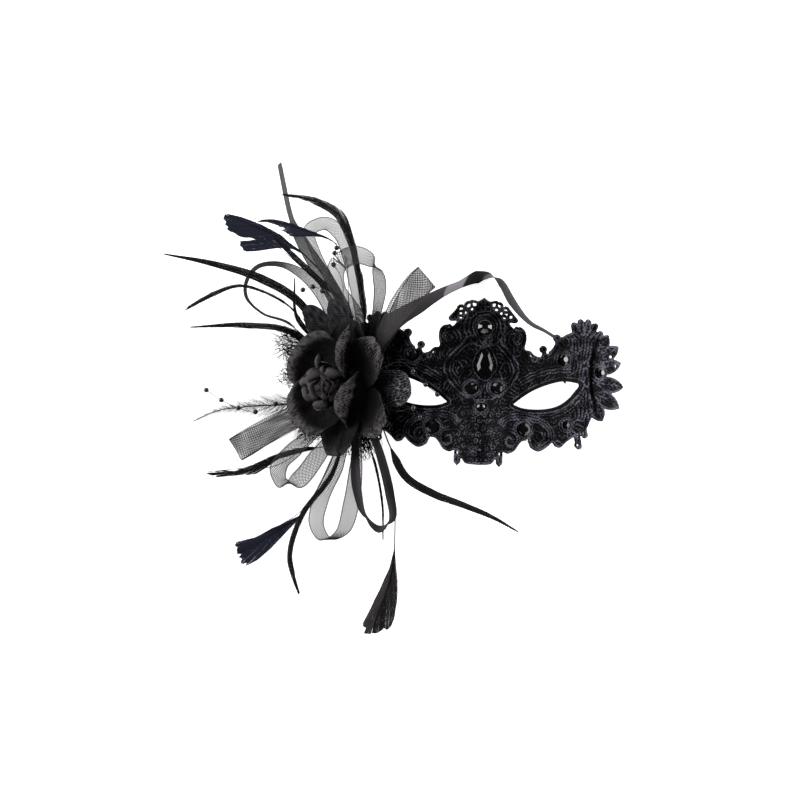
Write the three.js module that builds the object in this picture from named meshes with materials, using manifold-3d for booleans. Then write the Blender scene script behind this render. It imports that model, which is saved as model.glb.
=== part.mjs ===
import * as THREE from 'three';
import Module from 'manifold-3d';
import { mergeVertices } from 'three/addons/utils/BufferGeometryUtils.js';

// A black lace eye mask with a rose corsage on one temple, lying face up.
// Millimetres, +Z up: z = 0 is the table, and the origin lies under the middle of the whole piece.
// +X is the viewer's right and +Y is towards the crown.

const wasm = await Module();
wasm.setup();

// Driving dimensions
const maskHalfSpan = 85;        // nose line to the tip of the temple leaves, across
const maskDepth = 48;           // how far the temples fall behind the nose line
const maskTop = 50.2;           // height of the shell's front on the nose line, nose apart
const maskWall = 2;             // stiffened lace and its backing
const noseRise = 13;            // the nose stands this far in front of the shell
const noseWidth = 13;
const crownLean = 0.0016;       // the crown leans back with the square of its height
const templeHook = 0.02;        // the temple tips bend back with the square of the way past the hook line
const hookLine = 76;
const maskPlace = new THREE.Vector3(52.2, -0.3, 0);
const maskLean = THREE.MathUtils.degToRad(-2.3);
const eyeHoleSpan = 40;         // corner to corner
const cordHeight = 0.9;         // raised cords of the lace
const cordWidth = 2.2;
const layerSink = 0.6;          // cords and the upper lace layer reach this far into the shell
const gap = 0.3;                // between pieces that rest on each other

const corsageFoot = new THREE.Vector3(-19.2, 8, 17.4);
const corsageTilt = THREE.MathUtils.degToRad(41);   // the flower faces left by this much
const feltRadius = 19;
const feltThick = 2.6;
const hubRadius = 11;
const hubHeight = 12;
const petalThick = 1;
const crinWidth = 11.5;
const crinThick = 0.8;
const quillThick = 0.9;
const beadRadius = 1.6;
const beadWire = 0.7;
const tieWidth = 11;
const tieThick = 0.8;

// Materials
function finish(color, roughness, metalness = 0) {
  return new THREE.MeshStandardMaterial({ color, roughness, metalness });
}
const lace = finish(0x17151a, 0.85);
const feltCloth = finish(0x101012, 0.95);
const petalCloth = finish(0x1d1b1c, 0.8);
const budSatin = finish(0x3a3536, 0.5);
const netCloth = finish(0x2b292b, 0.8);
const crin = finish(0x6a6468, 0.5);
const satin = finish(0x2c2828, 0.4);
const feather = finish(0x131218, 0.55);
const glass = finish(0x0a0a0c, 0.05);

const whole = new THREE.Group();
const mask = new THREE.Group();
mask.position.copy(maskPlace);
mask.rotation.z = maskLean;
whole.add(mask);

function addPiece(parent, name, geometry, material) {
  const piece = new THREE.Mesh(geometry, material);
  piece.name = name;
  parent.add(piece);
  return piece;
}

// Solids from rings of points

// The faces between neighbouring rings of equal size. A round body's last ring meets its first.
// The two halves of a ring face each other across a thin wall, so both are cut along the same diagonal.
function sideFaces(rings, isRound = false) {
  const size = rings[0].length;
  const all = rings.length * size;
  const faces = [];
  for (let ring = 0; ring < rings.length - (isRound ? 0 : 1); ring += 1) {
    for (let side = 0; side < size; side += 1) {
      const a = ring * size + side;
      const b = ring * size + (side + 1) % size;
      const [c, d] = [(b + size) % all, (a + size) % all];
      faces.push(...(side < size / 2 ? [a, b, d, b, c, d] : [a, b, c, a, c, d]));
    }
  }
  return faces;
}

// A closed solid from equal rings of points, capped at both ends by fans.
function loft(rings) {
  const size = rings[0].length;
  const faces = sideFaces(rings);
  const last = (rings.length - 1) * size;
  for (let side = 1; side < size - 1; side += 1) {
    faces.push(0, side + 1, side, last, last + side, last + side + 1);
  }
  return facesOut(rings, faces);
}

// Makes the geometry, and turns the faces over where the solid came out inside out.
function facesOut(rings, faces) {
  const vertices = rings.flat().flatMap((point) => [point.x, point.y, point.z]);
  const corner = (index) => new THREE.Vector3().fromArray(vertices, index * 3);
  let volume = 0;
  for (let face = 0; face < faces.length; face += 3) {
    const [a, b, c] = [corner(faces[face]), corner(faces[face + 1]), corner(faces[face + 2])];
    volume += a.dot(b.cross(c));
  }
  if (volume < 0) {
    faces.reverse();
  }
  const geometry = new THREE.BufferGeometry();
  geometry.setAttribute('position', new THREE.Float32BufferAttribute(vertices, 3));
  geometry.setIndex(faces);
  return geometry;
}

// A thick sheet over place(s, v), with s from -1 to 1 and v from 0 to 1, as a loft of flat rings:
// each ring runs along the front of one row and back along its rear.
function thickSheet(place, across, along, thickness) {
  const nudge = 0.01;           // the step in s and v over which the sheet's slope is taken
  const rings = [];
  for (let row = 0; row <= along; row += 1) {
    const v = row / along;
    const front = [];
    const rear = [];
    for (let column = 0; column <= across; column += 1) {
      const s = 2 * column / across - 1;
      const sideways = place(s + nudge, v).sub(place(s - nudge, v));
      const onwards = place(s, v + nudge).sub(place(s, v - nudge));
      const normal = sideways.cross(onwards).normalize().multiplyScalar(thickness / 2);
      const middle = place(s, v);
      front.push(middle.clone().add(normal));
      rear.push(middle.clone().sub(normal));
    }
    rings.push([...front, ...rear.reverse()]);
  }
  return loftSheet(rings, across + 1);
}

// Joins rings of two facing rows, and closes the two end rings with pairs of faces across the wall.
function loftSheet(rings, columns) {
  const size = rings[0].length;
  const faces = sideFaces(rings);
  const last = (rings.length - 1) * size;
  for (let column = 0; column < columns - 1; column += 1) {
    const across = size - 1 - column;
    faces.push(column, across, column + 1, column + 1, across, across - 1);
    faces.push(last + column, last + column + 1, last + across);
    faces.push(last + column + 1, last + across - 1, last + across);
  }
  return facesOut(rings, faces);
}

// The value at t, from 0 to 1, along a list of values spread evenly.
function blend(values, t) {
  const at = t * (values.length - 1);
  const low = Math.min(Math.floor(at), values.length - 2);
  return THREE.MathUtils.lerp(values[low], values[low + 1], at - low);
}

// A flat strip along a route: width is spread along it, and so is broad, the way its width points.
// Without broad the width lies level, square to the route.
function strip({ route, width, broad, thick, steps }) {
  const points = route.map((point) => new THREE.Vector3(...point));
  const curve = new THREE.CatmullRomCurve3(points, false, 'centripetal');
  const up = new THREE.Vector3(0, 0, 1);
  const rings = [];
  for (let step = 0; step <= steps; step += 1) {
    const t = step / steps;
    const along = curve.getTangent(t);
    const side = broad ? spreadVector(broad, t) : along.clone().cross(up);
    side.addScaledVector(along, -side.dot(along)).normalize();
    const normal = side.clone().cross(along).normalize().multiplyScalar(thick / 2);
    side.multiplyScalar(blend(width, t) / 2);
    const centre = curve.getPoint(t);
    rings.push([
      centre.clone().add(side).add(normal),
      centre.clone().sub(side).add(normal),
      centre.clone().sub(side).sub(normal),
      centre.clone().add(side).sub(normal),
    ]);
  }
  return loft(rings);
}

function spreadVector(vectors, t) {
  return new THREE.Vector3(...[0, 1, 2].map((axis) => blend(vectors.map((one) => one[axis]), t)));
}

// Booleans

function toSolid(geometry) {
  const bare = geometry.clone();
  bare.deleteAttribute('normal');
  bare.deleteAttribute('uv');
  const merged = mergeVertices(bare, 1e-4);
  return new wasm.Manifold(new wasm.Mesh({
    numProp: 3,
    vertProperties: new Float32Array(merged.attributes.position.array),
    triVerts: new Uint32Array(merged.index.array),
  }));
}

function fromSolid(solid) {
  const { vertProperties, triVerts } = solid.getMesh();
  const geometry = new THREE.BufferGeometry();
  geometry.setAttribute('position', new THREE.BufferAttribute(vertProperties, 3));
  geometry.setIndex(new THREE.BufferAttribute(triVerts, 1));
  return geometry;
}

// The mask shell

// Height of the shell's front over a point of its own plane: a shallow bow across, a crown that leans
// back and a nose that swells downwards from between the brows.
function frontHeight(x, y) {
  const bow = maskDepth * (x / maskHalfSpan) ** 2;
  const noseGrowth = THREE.MathUtils.smoothstep(24 - y, 0, 50);
  const nose = noseRise * noseGrowth * Math.exp(-((x / noseWidth) ** 2));
  const lean = crownLean * Math.max(y, 0) ** 2;
  const hook = templeHook * Math.max(Math.abs(x) - hookLine, 0) ** 2;
  return maskTop - bow + nose - lean - hook;
}

function frontPoint(x, y, lift = 0) {
  const step = 0.05;
  const slopeX = (frontHeight(x + step, y) - frontHeight(x - step, y)) / (2 * step);
  const slopeY = (frontHeight(x, y + step) - frontHeight(x, y - step)) / (2 * step);
  const normal = new THREE.Vector3(-slopeX, -slopeY, 1).normalize();
  return new THREE.Vector3(x, y, frontHeight(x, y)).addScaledVector(normal, lift);
}

function mirrorX(list) {
  return [...list, ...list.filter(([x]) => Math.abs(x) > 1e-6).map(([x, ...rest]) => [-x, ...rest])];
}

// The smooth edge behind the scallops, right side from the crown down to the nose.
const bodyEdge = [
  [0, 52], [13, 47], [21, 35], [29, 26], [37, 26], [45, 33], [54, 41], [63, 43], [72, 37], [77, 27],
  [77, 14], [76, 2], [69, -6], [63, -14], [57, -20], [49, -22.5], [41, -22.5], [33, -20.5], [26, -19],
  [20, -22], [14, -27], [8, -32], [0, -34],
];
// Round lobes, each x, y, radius: picot loops of the crown, side medallions, brow lobes, the picot ball,
// the scrolls under the eye and the nose medallion.
const crownCentre = [0, 43.3];
const crownFan = 15.2;
const picotRadius = 3;
const crownPicots = [90, 70, 50, 30, 10].map((angle) => {
  const aim = THREE.MathUtils.degToRad(angle);
  return [crownFan * Math.cos(aim), crownCentre[1] + crownFan * Math.sin(aim), picotRadius];
});
const lobes = [
  ...crownPicots, [...crownCentre, 13.4], [18.4, 37.4, 7.6], [30.5, 27.2, 3.6], [36.6, 32.6, 2.9],
  [43.5, 35.6, 4], [49.4, 38.9, 4], [18.2, -23.6, 7], [36, -22.2, 7.2], [43.6, -22.6, 3.4],
  [49.8, -23.2, 3.6], [61, -22.4, 3.4], [0, -27, 11.6],
];
// Pointed leaves, each x, y of the foot, direction, length, width: the fan of fingers, the leaf cluster
// of the temple, the two tassels of the nose and the small loops beside them.
const leaves = [
  [60, 38, 124, 12.4, 4.6], [60.6, 38.6, 104, 12.8, 4.6], [61.4, 38.8, 84, 12.6, 4.6],
  [62.4, 38.4, 62, 12.2, 4.6], [64, 37.4, 42, 11, 4.8],
  [67, 28, 60, 16.4, 9], [68, 25, 37, 17.4, 9], [68, 20, 20, 16.8, 9], [67, 13, -6, 19, 10],
  [66, 8, -29, 20.4, 10], [65, 3, -54, 16, 9], [59, -14, -84, 13.6, 4.6], [36.2, 24, 89, 9, 3],
  [12.2, -29, -88, 9.8, 4.2],
];
const picotHoleRadius = 1.3;
const medallionHoles = [[7, 52.6, 1.2], [10.6, 48.8, 1.2], [2.9, 54.4, 1.1]];

function circleShape(x, y, radius) {
  return new THREE.Shape().absarc(x, y, radius, 0, 2 * Math.PI);
}

// A leaf as a shape: two bowed sides from the foot to the tip, pulled out at the belly.
function leafShape(x, y, direction, length, width) {
  const aim = THREE.MathUtils.degToRad(direction);
  const spot = (out, aside) => [
    x + out * Math.cos(aim) - aside * Math.sin(aim),
    y + out * Math.sin(aim) + aside * Math.cos(aim),
  ];
  const foot = width * 0.2;
  const belly = [length * 0.62, width * 0.95];
  const shape = new THREE.Shape();
  shape.moveTo(...spot(0, foot));
  shape.quadraticCurveTo(...spot(belly[0], belly[1]), ...spot(length, 0));
  shape.quadraticCurveTo(...spot(belly[0], -belly[1]), ...spot(0, -foot));
  shape.closePath();
  return shape;
}

function mirroredLeaf([x, y, direction, ...rest]) {
  return [-x, y, 180 - direction, ...rest];
}

function flatSpline(points, closed) {
  return new THREE.CatmullRomCurve3(points.map(([x, y]) => new THREE.Vector3(x, y, 0)), closed);
}

function closedShape(points, divisions) {
  const spots = flatSpline(points, true).getSpacedPoints(divisions).slice(0, -1);
  return new THREE.Shape(spots.map(({ x, y }) => new THREE.Vector2(x, y)));
}

// The eye hole: an almond between its two corners, the outer one raised.
const eyeInner = [19.4, -2.2];
const eyeOuter = [eyeInner[0] + eyeHoleSpan, 11.6];
const eyeUpper = [[27, 4.6], [38, 10.4], [50, 13.3]];
const eyeLower = [[55.4, 5], [46, -1.8], [34, -4.2]];

function eyeShape(side, divisions) {
  const flip = ([x, y]) => new THREE.Vector2(side * x, y);
  const shape = new THREE.Shape();
  shape.moveTo(side * eyeInner[0], eyeInner[1]);
  shape.splineThru([...eyeUpper, eyeOuter].map(flip));
  shape.splineThru([...eyeLower, eyeInner].map(flip));
  return new THREE.Shape(shape.getPoints(divisions).slice(0, -1));
}

// An upright prism that reaches past the shell above and below.
function prism(shape, curveSegments) {
  const below = 10;
  const depth = below + 2 * maskTop;
  const body = new THREE.ExtrudeGeometry(shape, { depth, bevelEnabled: false, curveSegments });
  return toSolid(body.translate(0, 0, -below));
}

// The curved slab that the outline is cut from, with closer columns over the nose.
const slabColumns = [0, 5, 10, 16, 24, 34, 46, 58, 70, 79, 92];
const allColumns = [...slabColumns.slice(1).map((x) => -x).reverse(), ...slabColumns];
const slabRows = [-42, -27, -15, -4, 8.5, 25.5, 44, 64];
function slab(rear, front, columns) {
  const rings = columns.map((x) => [
    ...slabRows.map((y) => frontPoint(x, y, front)),
    ...slabRows.map((y) => frontPoint(x, y, rear)).reverse(),
  ]);
  return toSolid(loftSheet(rings, slabRows.length));
}

// A raised cord of the lace: a low ridge that follows the shell's front along a flat route.
function laceCord(points, { closed = false, steps }) {
  const curve = flatSpline(points, closed);
  const shares = closed
    ? Array.from({ length: steps }, (unused, step) => (step + 0.5) / steps)
    : Array.from({ length: steps + 1 }, (unused, step) => step / steps);
  const rings = [];
  for (const share of shares) {
    const spot = curve.getPoint(share);
    const along = curve.getTangent(share);
    const side = new THREE.Vector2(along.y, -along.x).normalize().multiplyScalar(cordWidth / 2);
    rings.push([
      frontPoint(spot.x + side.x, spot.y + side.y, -layerSink),
      frontPoint(spot.x, spot.y, cordHeight),
      frontPoint(spot.x - side.x, spot.y - side.y, -layerSink),
    ]);
  }
  return toSolid(closed ? facesOut(rings, sideFaces(rings, true)) : loft(rings));
}

function circlePoints(x, y, radius, count) {
  return Array.from({ length: count }, (unused, index) => {
    const angle = 2 * Math.PI * index / count;
    return [x + radius * Math.cos(angle), y + radius * Math.sin(angle)];
  });
}

// A scroll: an arc whose radius shrinks steadily from the outside in.
function scrollPoints(x, y, outer, inner, startAngle, sweep, count) {
  return Array.from({ length: count }, (unused, index) => {
    const share = index / (count - 1);
    const angle = THREE.MathUtils.degToRad(startAngle + sweep * share);
    const radius = THREE.MathUtils.lerp(outer, inner, share);
    return [x + radius * Math.cos(angle), y + radius * Math.sin(angle)];
  });
}

// Cords on the right half that the left half mirrors.
const eyeBorder = [
  [16.4, -2.2], [25.5, 6.4], [37, 13], [50, 16.2], [62.6, 13.4], [57.6, 2.8], [47, -4.8], [34, -7.2],
  [22, -6.2],
];
const browCord = [[9, 12.5], [24, 16.4], [38, 20.6], [52, 20.4], [62, 20]];
const cheekScroll = [
  [11.6, -12.4], [22, -8.8], [33, -9.4], [41.6, -14.4], [42.4, -23], [35.4, -27.6], [30.4, -23],
  [34.4, -19.4],
];
const heartHalf = [[0, 30], [8, 33.6], [15.6, 31], [19.8, 24], [19, 14], [13, 5], [0, -0.5]];
const noseHalf = [[0, -15], [7.6, -18], [9.4, -26], [6, -33], [0, -35.6]];
const pairedCords = [
  [eyeBorder, { closed: true, steps: 12 }],
  [browCord, { steps: 5 }],
  [scrollPoints(18.2, -23.4, 6.2, 2, 100, -330, 9), { steps: 8 }],
  [cheekScroll, { steps: 9 }],
  [scrollPoints(18.4, 37.4, 6.4, 2.2, 200, -330, 9), { steps: 8 }],
];
const middleCords = [
  [circlePoints(1, 43.3, 7.6, 10), { closed: true, steps: 9 }],
  [mirrorLoop(heartHalf), { closed: true, steps: 14 }],
  [mirrorLoop(noseHalf), { closed: true, steps: 8 }],
];

function mirrorLoop(right) {
  return [...right, ...right.slice(1, -1).map(([x, y]) => [-x, y]).reverse()];
}

// The leaf cluster of the temple is a second layer of lace, with its inner edge along this line.
const clusterEdge = [[69, 41], [66.4, 30], [65.6, 18], [66.6, 6], [69, -6]];
const clusterLift = 1.2;

function clusterShape() {
  const shape = new THREE.Shape();
  shape.moveTo(maskHalfSpan + 6, clusterEdge[0][1]);
  shape.lineTo(...clusterEdge[0]);
  shape.splineThru(clusterEdge.slice(1).map(([x, y]) => new THREE.Vector2(x, y)));
  shape.lineTo(maskHalfSpan + 6, clusterEdge.at(-1)[1]);
  shape.closePath();
  return shape;
}

function maskGeometry() {
  let outline = prism(closedShape(mirrorLoop(bodyEdge), 48), 1);
  for (const [x, y, radius] of mirrorX(lobes)) {
    outline = outline.add(prism(circleShape(x, y, radius), 3 + Math.round(radius / 3)));
  }
  for (const leaf of [...leaves, ...leaves.map(mirroredLeaf)]) {
    outline = outline.add(prism(leafShape(...leaf), 2));
  }
  const holes = mirrorX([...crownPicots.map(([x, y]) => [x, y, picotHoleRadius]), ...medallionHoles]);
  for (const [x, y, radius] of holes) {
    outline = outline.subtract(prism(circleShape(x, y, radius), 2));
  }
  for (const side of [-1, 1]) {
    outline = outline.subtract(prism(eyeShape(side, 3), 1));
  }
  let body = slab(-maskWall, 0, allColumns).intersect(outline);
  const cluster = slab(-layerSink, clusterLift, [58, 64, 70, 78, 92]).intersect(outline);
  body = body.add(cluster.intersect(prism(clusterShape(), 4)));
  for (const [points, options] of pairedCords) {
    body = body.add(laceCord(points, options));
    body = body.add(laceCord(points.map(([x, y]) => [-x, y]), options));
  }
  for (const [points, options] of middleCords) {
    body = body.add(laceCord(points, options));
  }
  const span = 4 * maskHalfSpan;
  const table = new THREE.BoxGeometry(span, span, span).translate(0, 0, -span / 2);
  return fromSolid(body.subtract(toSolid(table)));
}
addPiece(mask, 'lace_mask', maskGeometry(), lace);

// Faceted gems

// A solid turned about the z axis from a profile of radius, height pairs.
function turned(profile, sides) {
  const body = new THREE.LatheGeometry(profile.map(([radius, z]) => new THREE.Vector2(radius, z)), sides);
  return body.rotateX(Math.PI / 2);
}

// A gem's share of its girdle at the foot and at the flat table, and the girdle's share of its height.
const gemFoot = 0.86;
const gemTable = 0.55;
const gemGirdle = 0.32;

// A round gem: flat foot, girdle, sloped crown facets and a flat table.
function gemGeometry(radius) {
  const height = radius * 0.85;
  const girdle = [radius, height * gemGirdle];
  return turned([[0, 0], [radius * gemFoot, 0], girdle, [radius * gemTable, height], [0, height]], 8);
}

// A teardrop gem: scaled rings of a drop outline, widest at the girdle and drawn to a point above.
function dropGeometry(width, length, height) {
  const sides = 12;
  const ringAt = (scale, z) => Array.from({ length: sides }, (unused, index) => {
    const angle = 2 * Math.PI * index / sides;
    const up = Math.sin(angle);
    const taper = 0.5 - 0.2 * up - 0.3 * Math.max(up, 0) ** 3;
    return new THREE.Vector3(scale * width * taper * Math.cos(angle), scale * length / 2 * up, z);
  });
  return loft([ringAt(gemFoot, 0), ringAt(1, height * gemGirdle), ringAt(gemTable, height)]);
}

function placeOnMask(piece, x, y, lift) {
  const foot = frontPoint(x, y, lift);
  const axis = frontPoint(x, y, lift + 1).sub(foot);
  piece.position.copy(foot);
  piece.quaternion.setFromUnitVectors(new THREE.Vector3(0, 0, 1), axis);
}

// Round gems, each x, y, radius, and the height of the layer under it where it isn't on the shell itself.
const gems = {
  gem_top: [1, 43.3, 4.2],
  gem_pair_left: [-5.4, 6.6, 3.4],
  gem_pair_right: [9.2, 7.4, 3.4],
  gem_nose: [0.4, -4.4, 2.4],
  gem_cheek_left: [-27.6, -17, 3.8],
  gem_cheek_right: [26.4, -16.4, 3.8],
  gem_brow_left: [-41, 25.2, 3.2],
  gem_brow_right: [48.6, 26, 3.4],
  gem_side_right: [70.6, 19.2, 3, clusterLift],
  gem_lower_right: [52, -12.9, 2.2],
};
for (const [name, [x, y, radius, layer = 0]] of Object.entries(gems)) {
  placeOnMask(addPiece(mask, name, gemGeometry(radius), glass), x, y, gap + layer);
}
const dropBed = 0.9;            // the long drop stands on a bed of cord, clear of the bowed shell
const teardrop = addPiece(mask, 'gem_teardrop', dropGeometry(10.6, 18, 4.6), glass);
placeOnMask(teardrop, 1.8, 21.8, gap + dropBed);

// The corsage

// The corsage's own axes: out of the temple, up the picture's right and towards the crown.
const outward = new THREE.Vector3(-Math.sin(corsageTilt), 0, Math.cos(corsageTilt));
const rightward = new THREE.Vector3(Math.cos(corsageTilt), 0, Math.sin(corsageTilt));
const crownward = new THREE.Vector3(0, 1, 0);

function corsagePoint(radius, azimuth, height) {
  const angle = THREE.MathUtils.degToRad(azimuth);
  return corsageFoot.clone()
    .addScaledVector(rightward, radius * Math.cos(angle))
    .addScaledVector(crownward, radius * Math.sin(angle))
    .addScaledVector(outward, height);
}

// The felt disc that everything is sewn to, with the wound stem hub that stands on it.
function feltGeometry() {
  const profile = [[0, gap], [feltRadius, gap], [feltRadius, feltThick], [hubRadius, feltThick],
    [hubRadius, hubHeight], [0, hubHeight]];
  const axes = new THREE.Matrix4().makeBasis(rightward, crownward, outward).setPosition(corsageFoot);
  return turned(profile, 16).applyMatrix4(axes);
}
addPiece(whole, 'felt_base', feltGeometry(), feltCloth);

const rollStart = 0.72;         // a rim rolls outwards past this share of the petal's length
const rollDrop = 0.55;          // and sinks by this much for each millimetre that it rolls out
const cornerCut = 0.16;         // a petal's sides are shorter than its middle by this share
const narrowest = 0.16;         // its width at the root, as a share of its widest
const stiffRadius = 12;         // nearer the axis than this, a petal is no longer bent round it

// A petal is a sector of a bowl round the flower's axis. Its middle line rises from the root to the rim
// along a bent line, the rim rolls outwards, and rounded corners come from a shorter line at the sides.
function petal({ azimuth, root, rim, bulge = 0.75, half, tipHalf = 0.5, curl = 3, ripple = 0 }) {
  const { lerp } = THREE.MathUtils;
  const [rootRadius, rootHeight] = root;
  const [rimRadius, rimHeight] = rim;
  const kneeRadius = lerp(rootRadius, rimRadius, bulge);
  const kneeHeight = lerp(rootHeight, rimHeight, 1 - bulge);
  return (s, v) => {
    const t = v * (1 - cornerCut * s ** 4);
    const radius = (1 - t) ** 2 * rootRadius + 2 * t * (1 - t) * kneeRadius + t * t * rimRadius;
    const height = (1 - t) ** 2 * rootHeight + 2 * t * (1 - t) * kneeHeight + t * t * rimHeight;
    const roll = curl * Math.max((v - rollStart) / (1 - rollStart), 0) ** 2;
    const swell = Math.sin(Math.PI * (0.05 + 0.62 * v)) ** 0.8;
    const sideways = half * lerp(narrowest, 1, swell) * lerp(1, tipHalf, v ** 4) * s;
    const turn = THREE.MathUtils.radToDeg(sideways / Math.max(radius, stiffRadius));
    const wave = ripple * v * v * Math.sin(2.5 * Math.PI * s);
    return corsagePoint(radius + roll, azimuth + turn, height - rollDrop * roll + wave);
  };
}

// The petals of a ring take turns between a lower and an upper bowl, so that neighbours overlap.
const outerLower = { root: [9, 13], rim: [38, 20], half: 18, curl: 3, ripple: 0.6 };
const outerUpper = { root: [9, 14.8], rim: [39, 24], half: 19, curl: 3, ripple: 0.6 };
const cupLower = { root: [7, 16.8], rim: [27, 33], bulge: 0.9, half: 21, curl: 3.4 };
const cupUpper = { root: [7, 18.4], rim: [25, 35], bulge: 0.9, half: 21, curl: 3.4 };
const inner = { root: [5, 20.6], rim: [14.6, 38], bulge: 0.95, half: 15, curl: 1.6 };
const petals = {
  petal_outer_right_up: { ...outerUpper, azimuth: 36 },
  petal_outer_top: { ...outerLower, azimuth: 92 },
  petal_outer_left: { ...outerUpper, azimuth: 152 },
  petal_outer_low_left: { ...outerLower, azimuth: -142 },
  petal_outer_low: { ...outerUpper, azimuth: -92, half: 17 },
  petal_outer_right_low: { ...outerLower, azimuth: -36, rim: [40, 21] },
  petal_cup_right_up: { ...cupUpper, azimuth: 44 },
  petal_cup_left_up: { ...cupLower, azimuth: 136, half: 23 },
  petal_cup_left_low: { ...cupUpper, azimuth: -134 },
  petal_cup_right_low: { ...cupLower, azimuth: -42, half: 22 },
  petal_inner_up: { ...inner, azimuth: 70 },
  petal_inner_low: { ...inner, azimuth: -100 },
};
for (const [name, shape] of Object.entries(petals)) {
  addPiece(whole, name, thickSheet(petal(shape), 4, 5, petalThick), petalCloth);
}

// The bud: a ridged knob of rolled satin, turned a little from each level to the next.
function budGeometry() {
  const sides = 12;
  const levelTurn = 9;
  const ridge = 0.07;
  const profile = [[3.4, 21.6], [7, 25], [10.4, 31], [9.6, 37.6], [6, 39.6], [2, 38.2]];
  const rings = profile.map(([radius, height], level) => Array.from({ length: sides }, (unused, side) => {
    const swell = 1 + ridge * Math.cos(Math.PI * side + level);
    return corsagePoint(radius * swell, 360 * side / sides + levelTurn * level, height);
  }));
  return loft(rings);
}
addPiece(whole, 'rose_bud', budGeometry(), budSatin);

// Leaves of net and sequin cloth behind the rose, flat spoon shapes.
const upperLeaf = { tipHalf: 0.6, curl: 0.6 };
const sideLeaf = { root: [11.8, 9.4], tipHalf: 0.7 };
const leafPieces = {
  leaf_net_up_left: { ...upperLeaf, azimuth: 118.4, root: [11.8, 9.4], rim: [55, 21], half: 8.6 },
  leaf_net_up: { ...upperLeaf, azimuth: 94, root: [11.8, 11], rim: [52, 20], half: 9.4 },
  leaf_speckled_right: { ...sideLeaf, azimuth: -2, rim: [45, 8], half: 10.4, curl: -2 },
  leaf_net_left: { ...sideLeaf, azimuth: 170, rim: [38.6, 11.4], half: 9, curl: 0 },
};
for (const [name, shape] of Object.entries(leafPieces)) {
  addPiece(whole, name, thickSheet(petal(shape), 4, 5, petalThick), netCloth);
}

// Crin loops, feathers and wires leave the hub in three layers, each straight out at its own azimuth
// under the petals, and then follow their routes. A loop comes back to the hub. Routes are x, y, z.
const rootClearance = 0.7;
const layers = { low: 4.2, middle: 6, high: 7.8 };
const layerReach = 23;
const stepsPerPoint = 1.7;
function rootStretch([azimuth, layer]) {
  const ends = [hubRadius + rootClearance, layerReach];
  return ends.map((radius) => corsagePoint(radius, azimuth, layers[layer]).toArray());
}

// The width of a strip lies round the hub at its root, on the side that its neighbour points to.
function rootBroad([azimuth], neighbour) {
  const sideways = corsagePoint(1, azimuth + 90, 0).sub(corsageFoot);
  const sign = Math.sign(sideways.dot(new THREE.Vector3(...neighbour)));
  return [sideways, sideways].map((vector) => vector.clone().multiplyScalar(sign).toArray());
}

function addStrips(pieces, material, thick) {
  for (const [name, { leave, back, route, broad, ...shape }] of Object.entries(pieces)) {
    const full = [...rootStretch(leave), ...route, ...(back ? rootStretch(back).reverse() : [])];
    const backTurns = broad && back ? rootBroad(back, broad.at(-1)) : [];
    const turns = broad && [...rootBroad(leave, broad[0]), ...broad, ...backTurns];
    const steps = Math.round(stepsPerPoint * (full.length - 1));
    addPiece(whole, name, strip({ ...shape, route: full, broad: turns, thick, steps }), material);
  }
}

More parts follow.
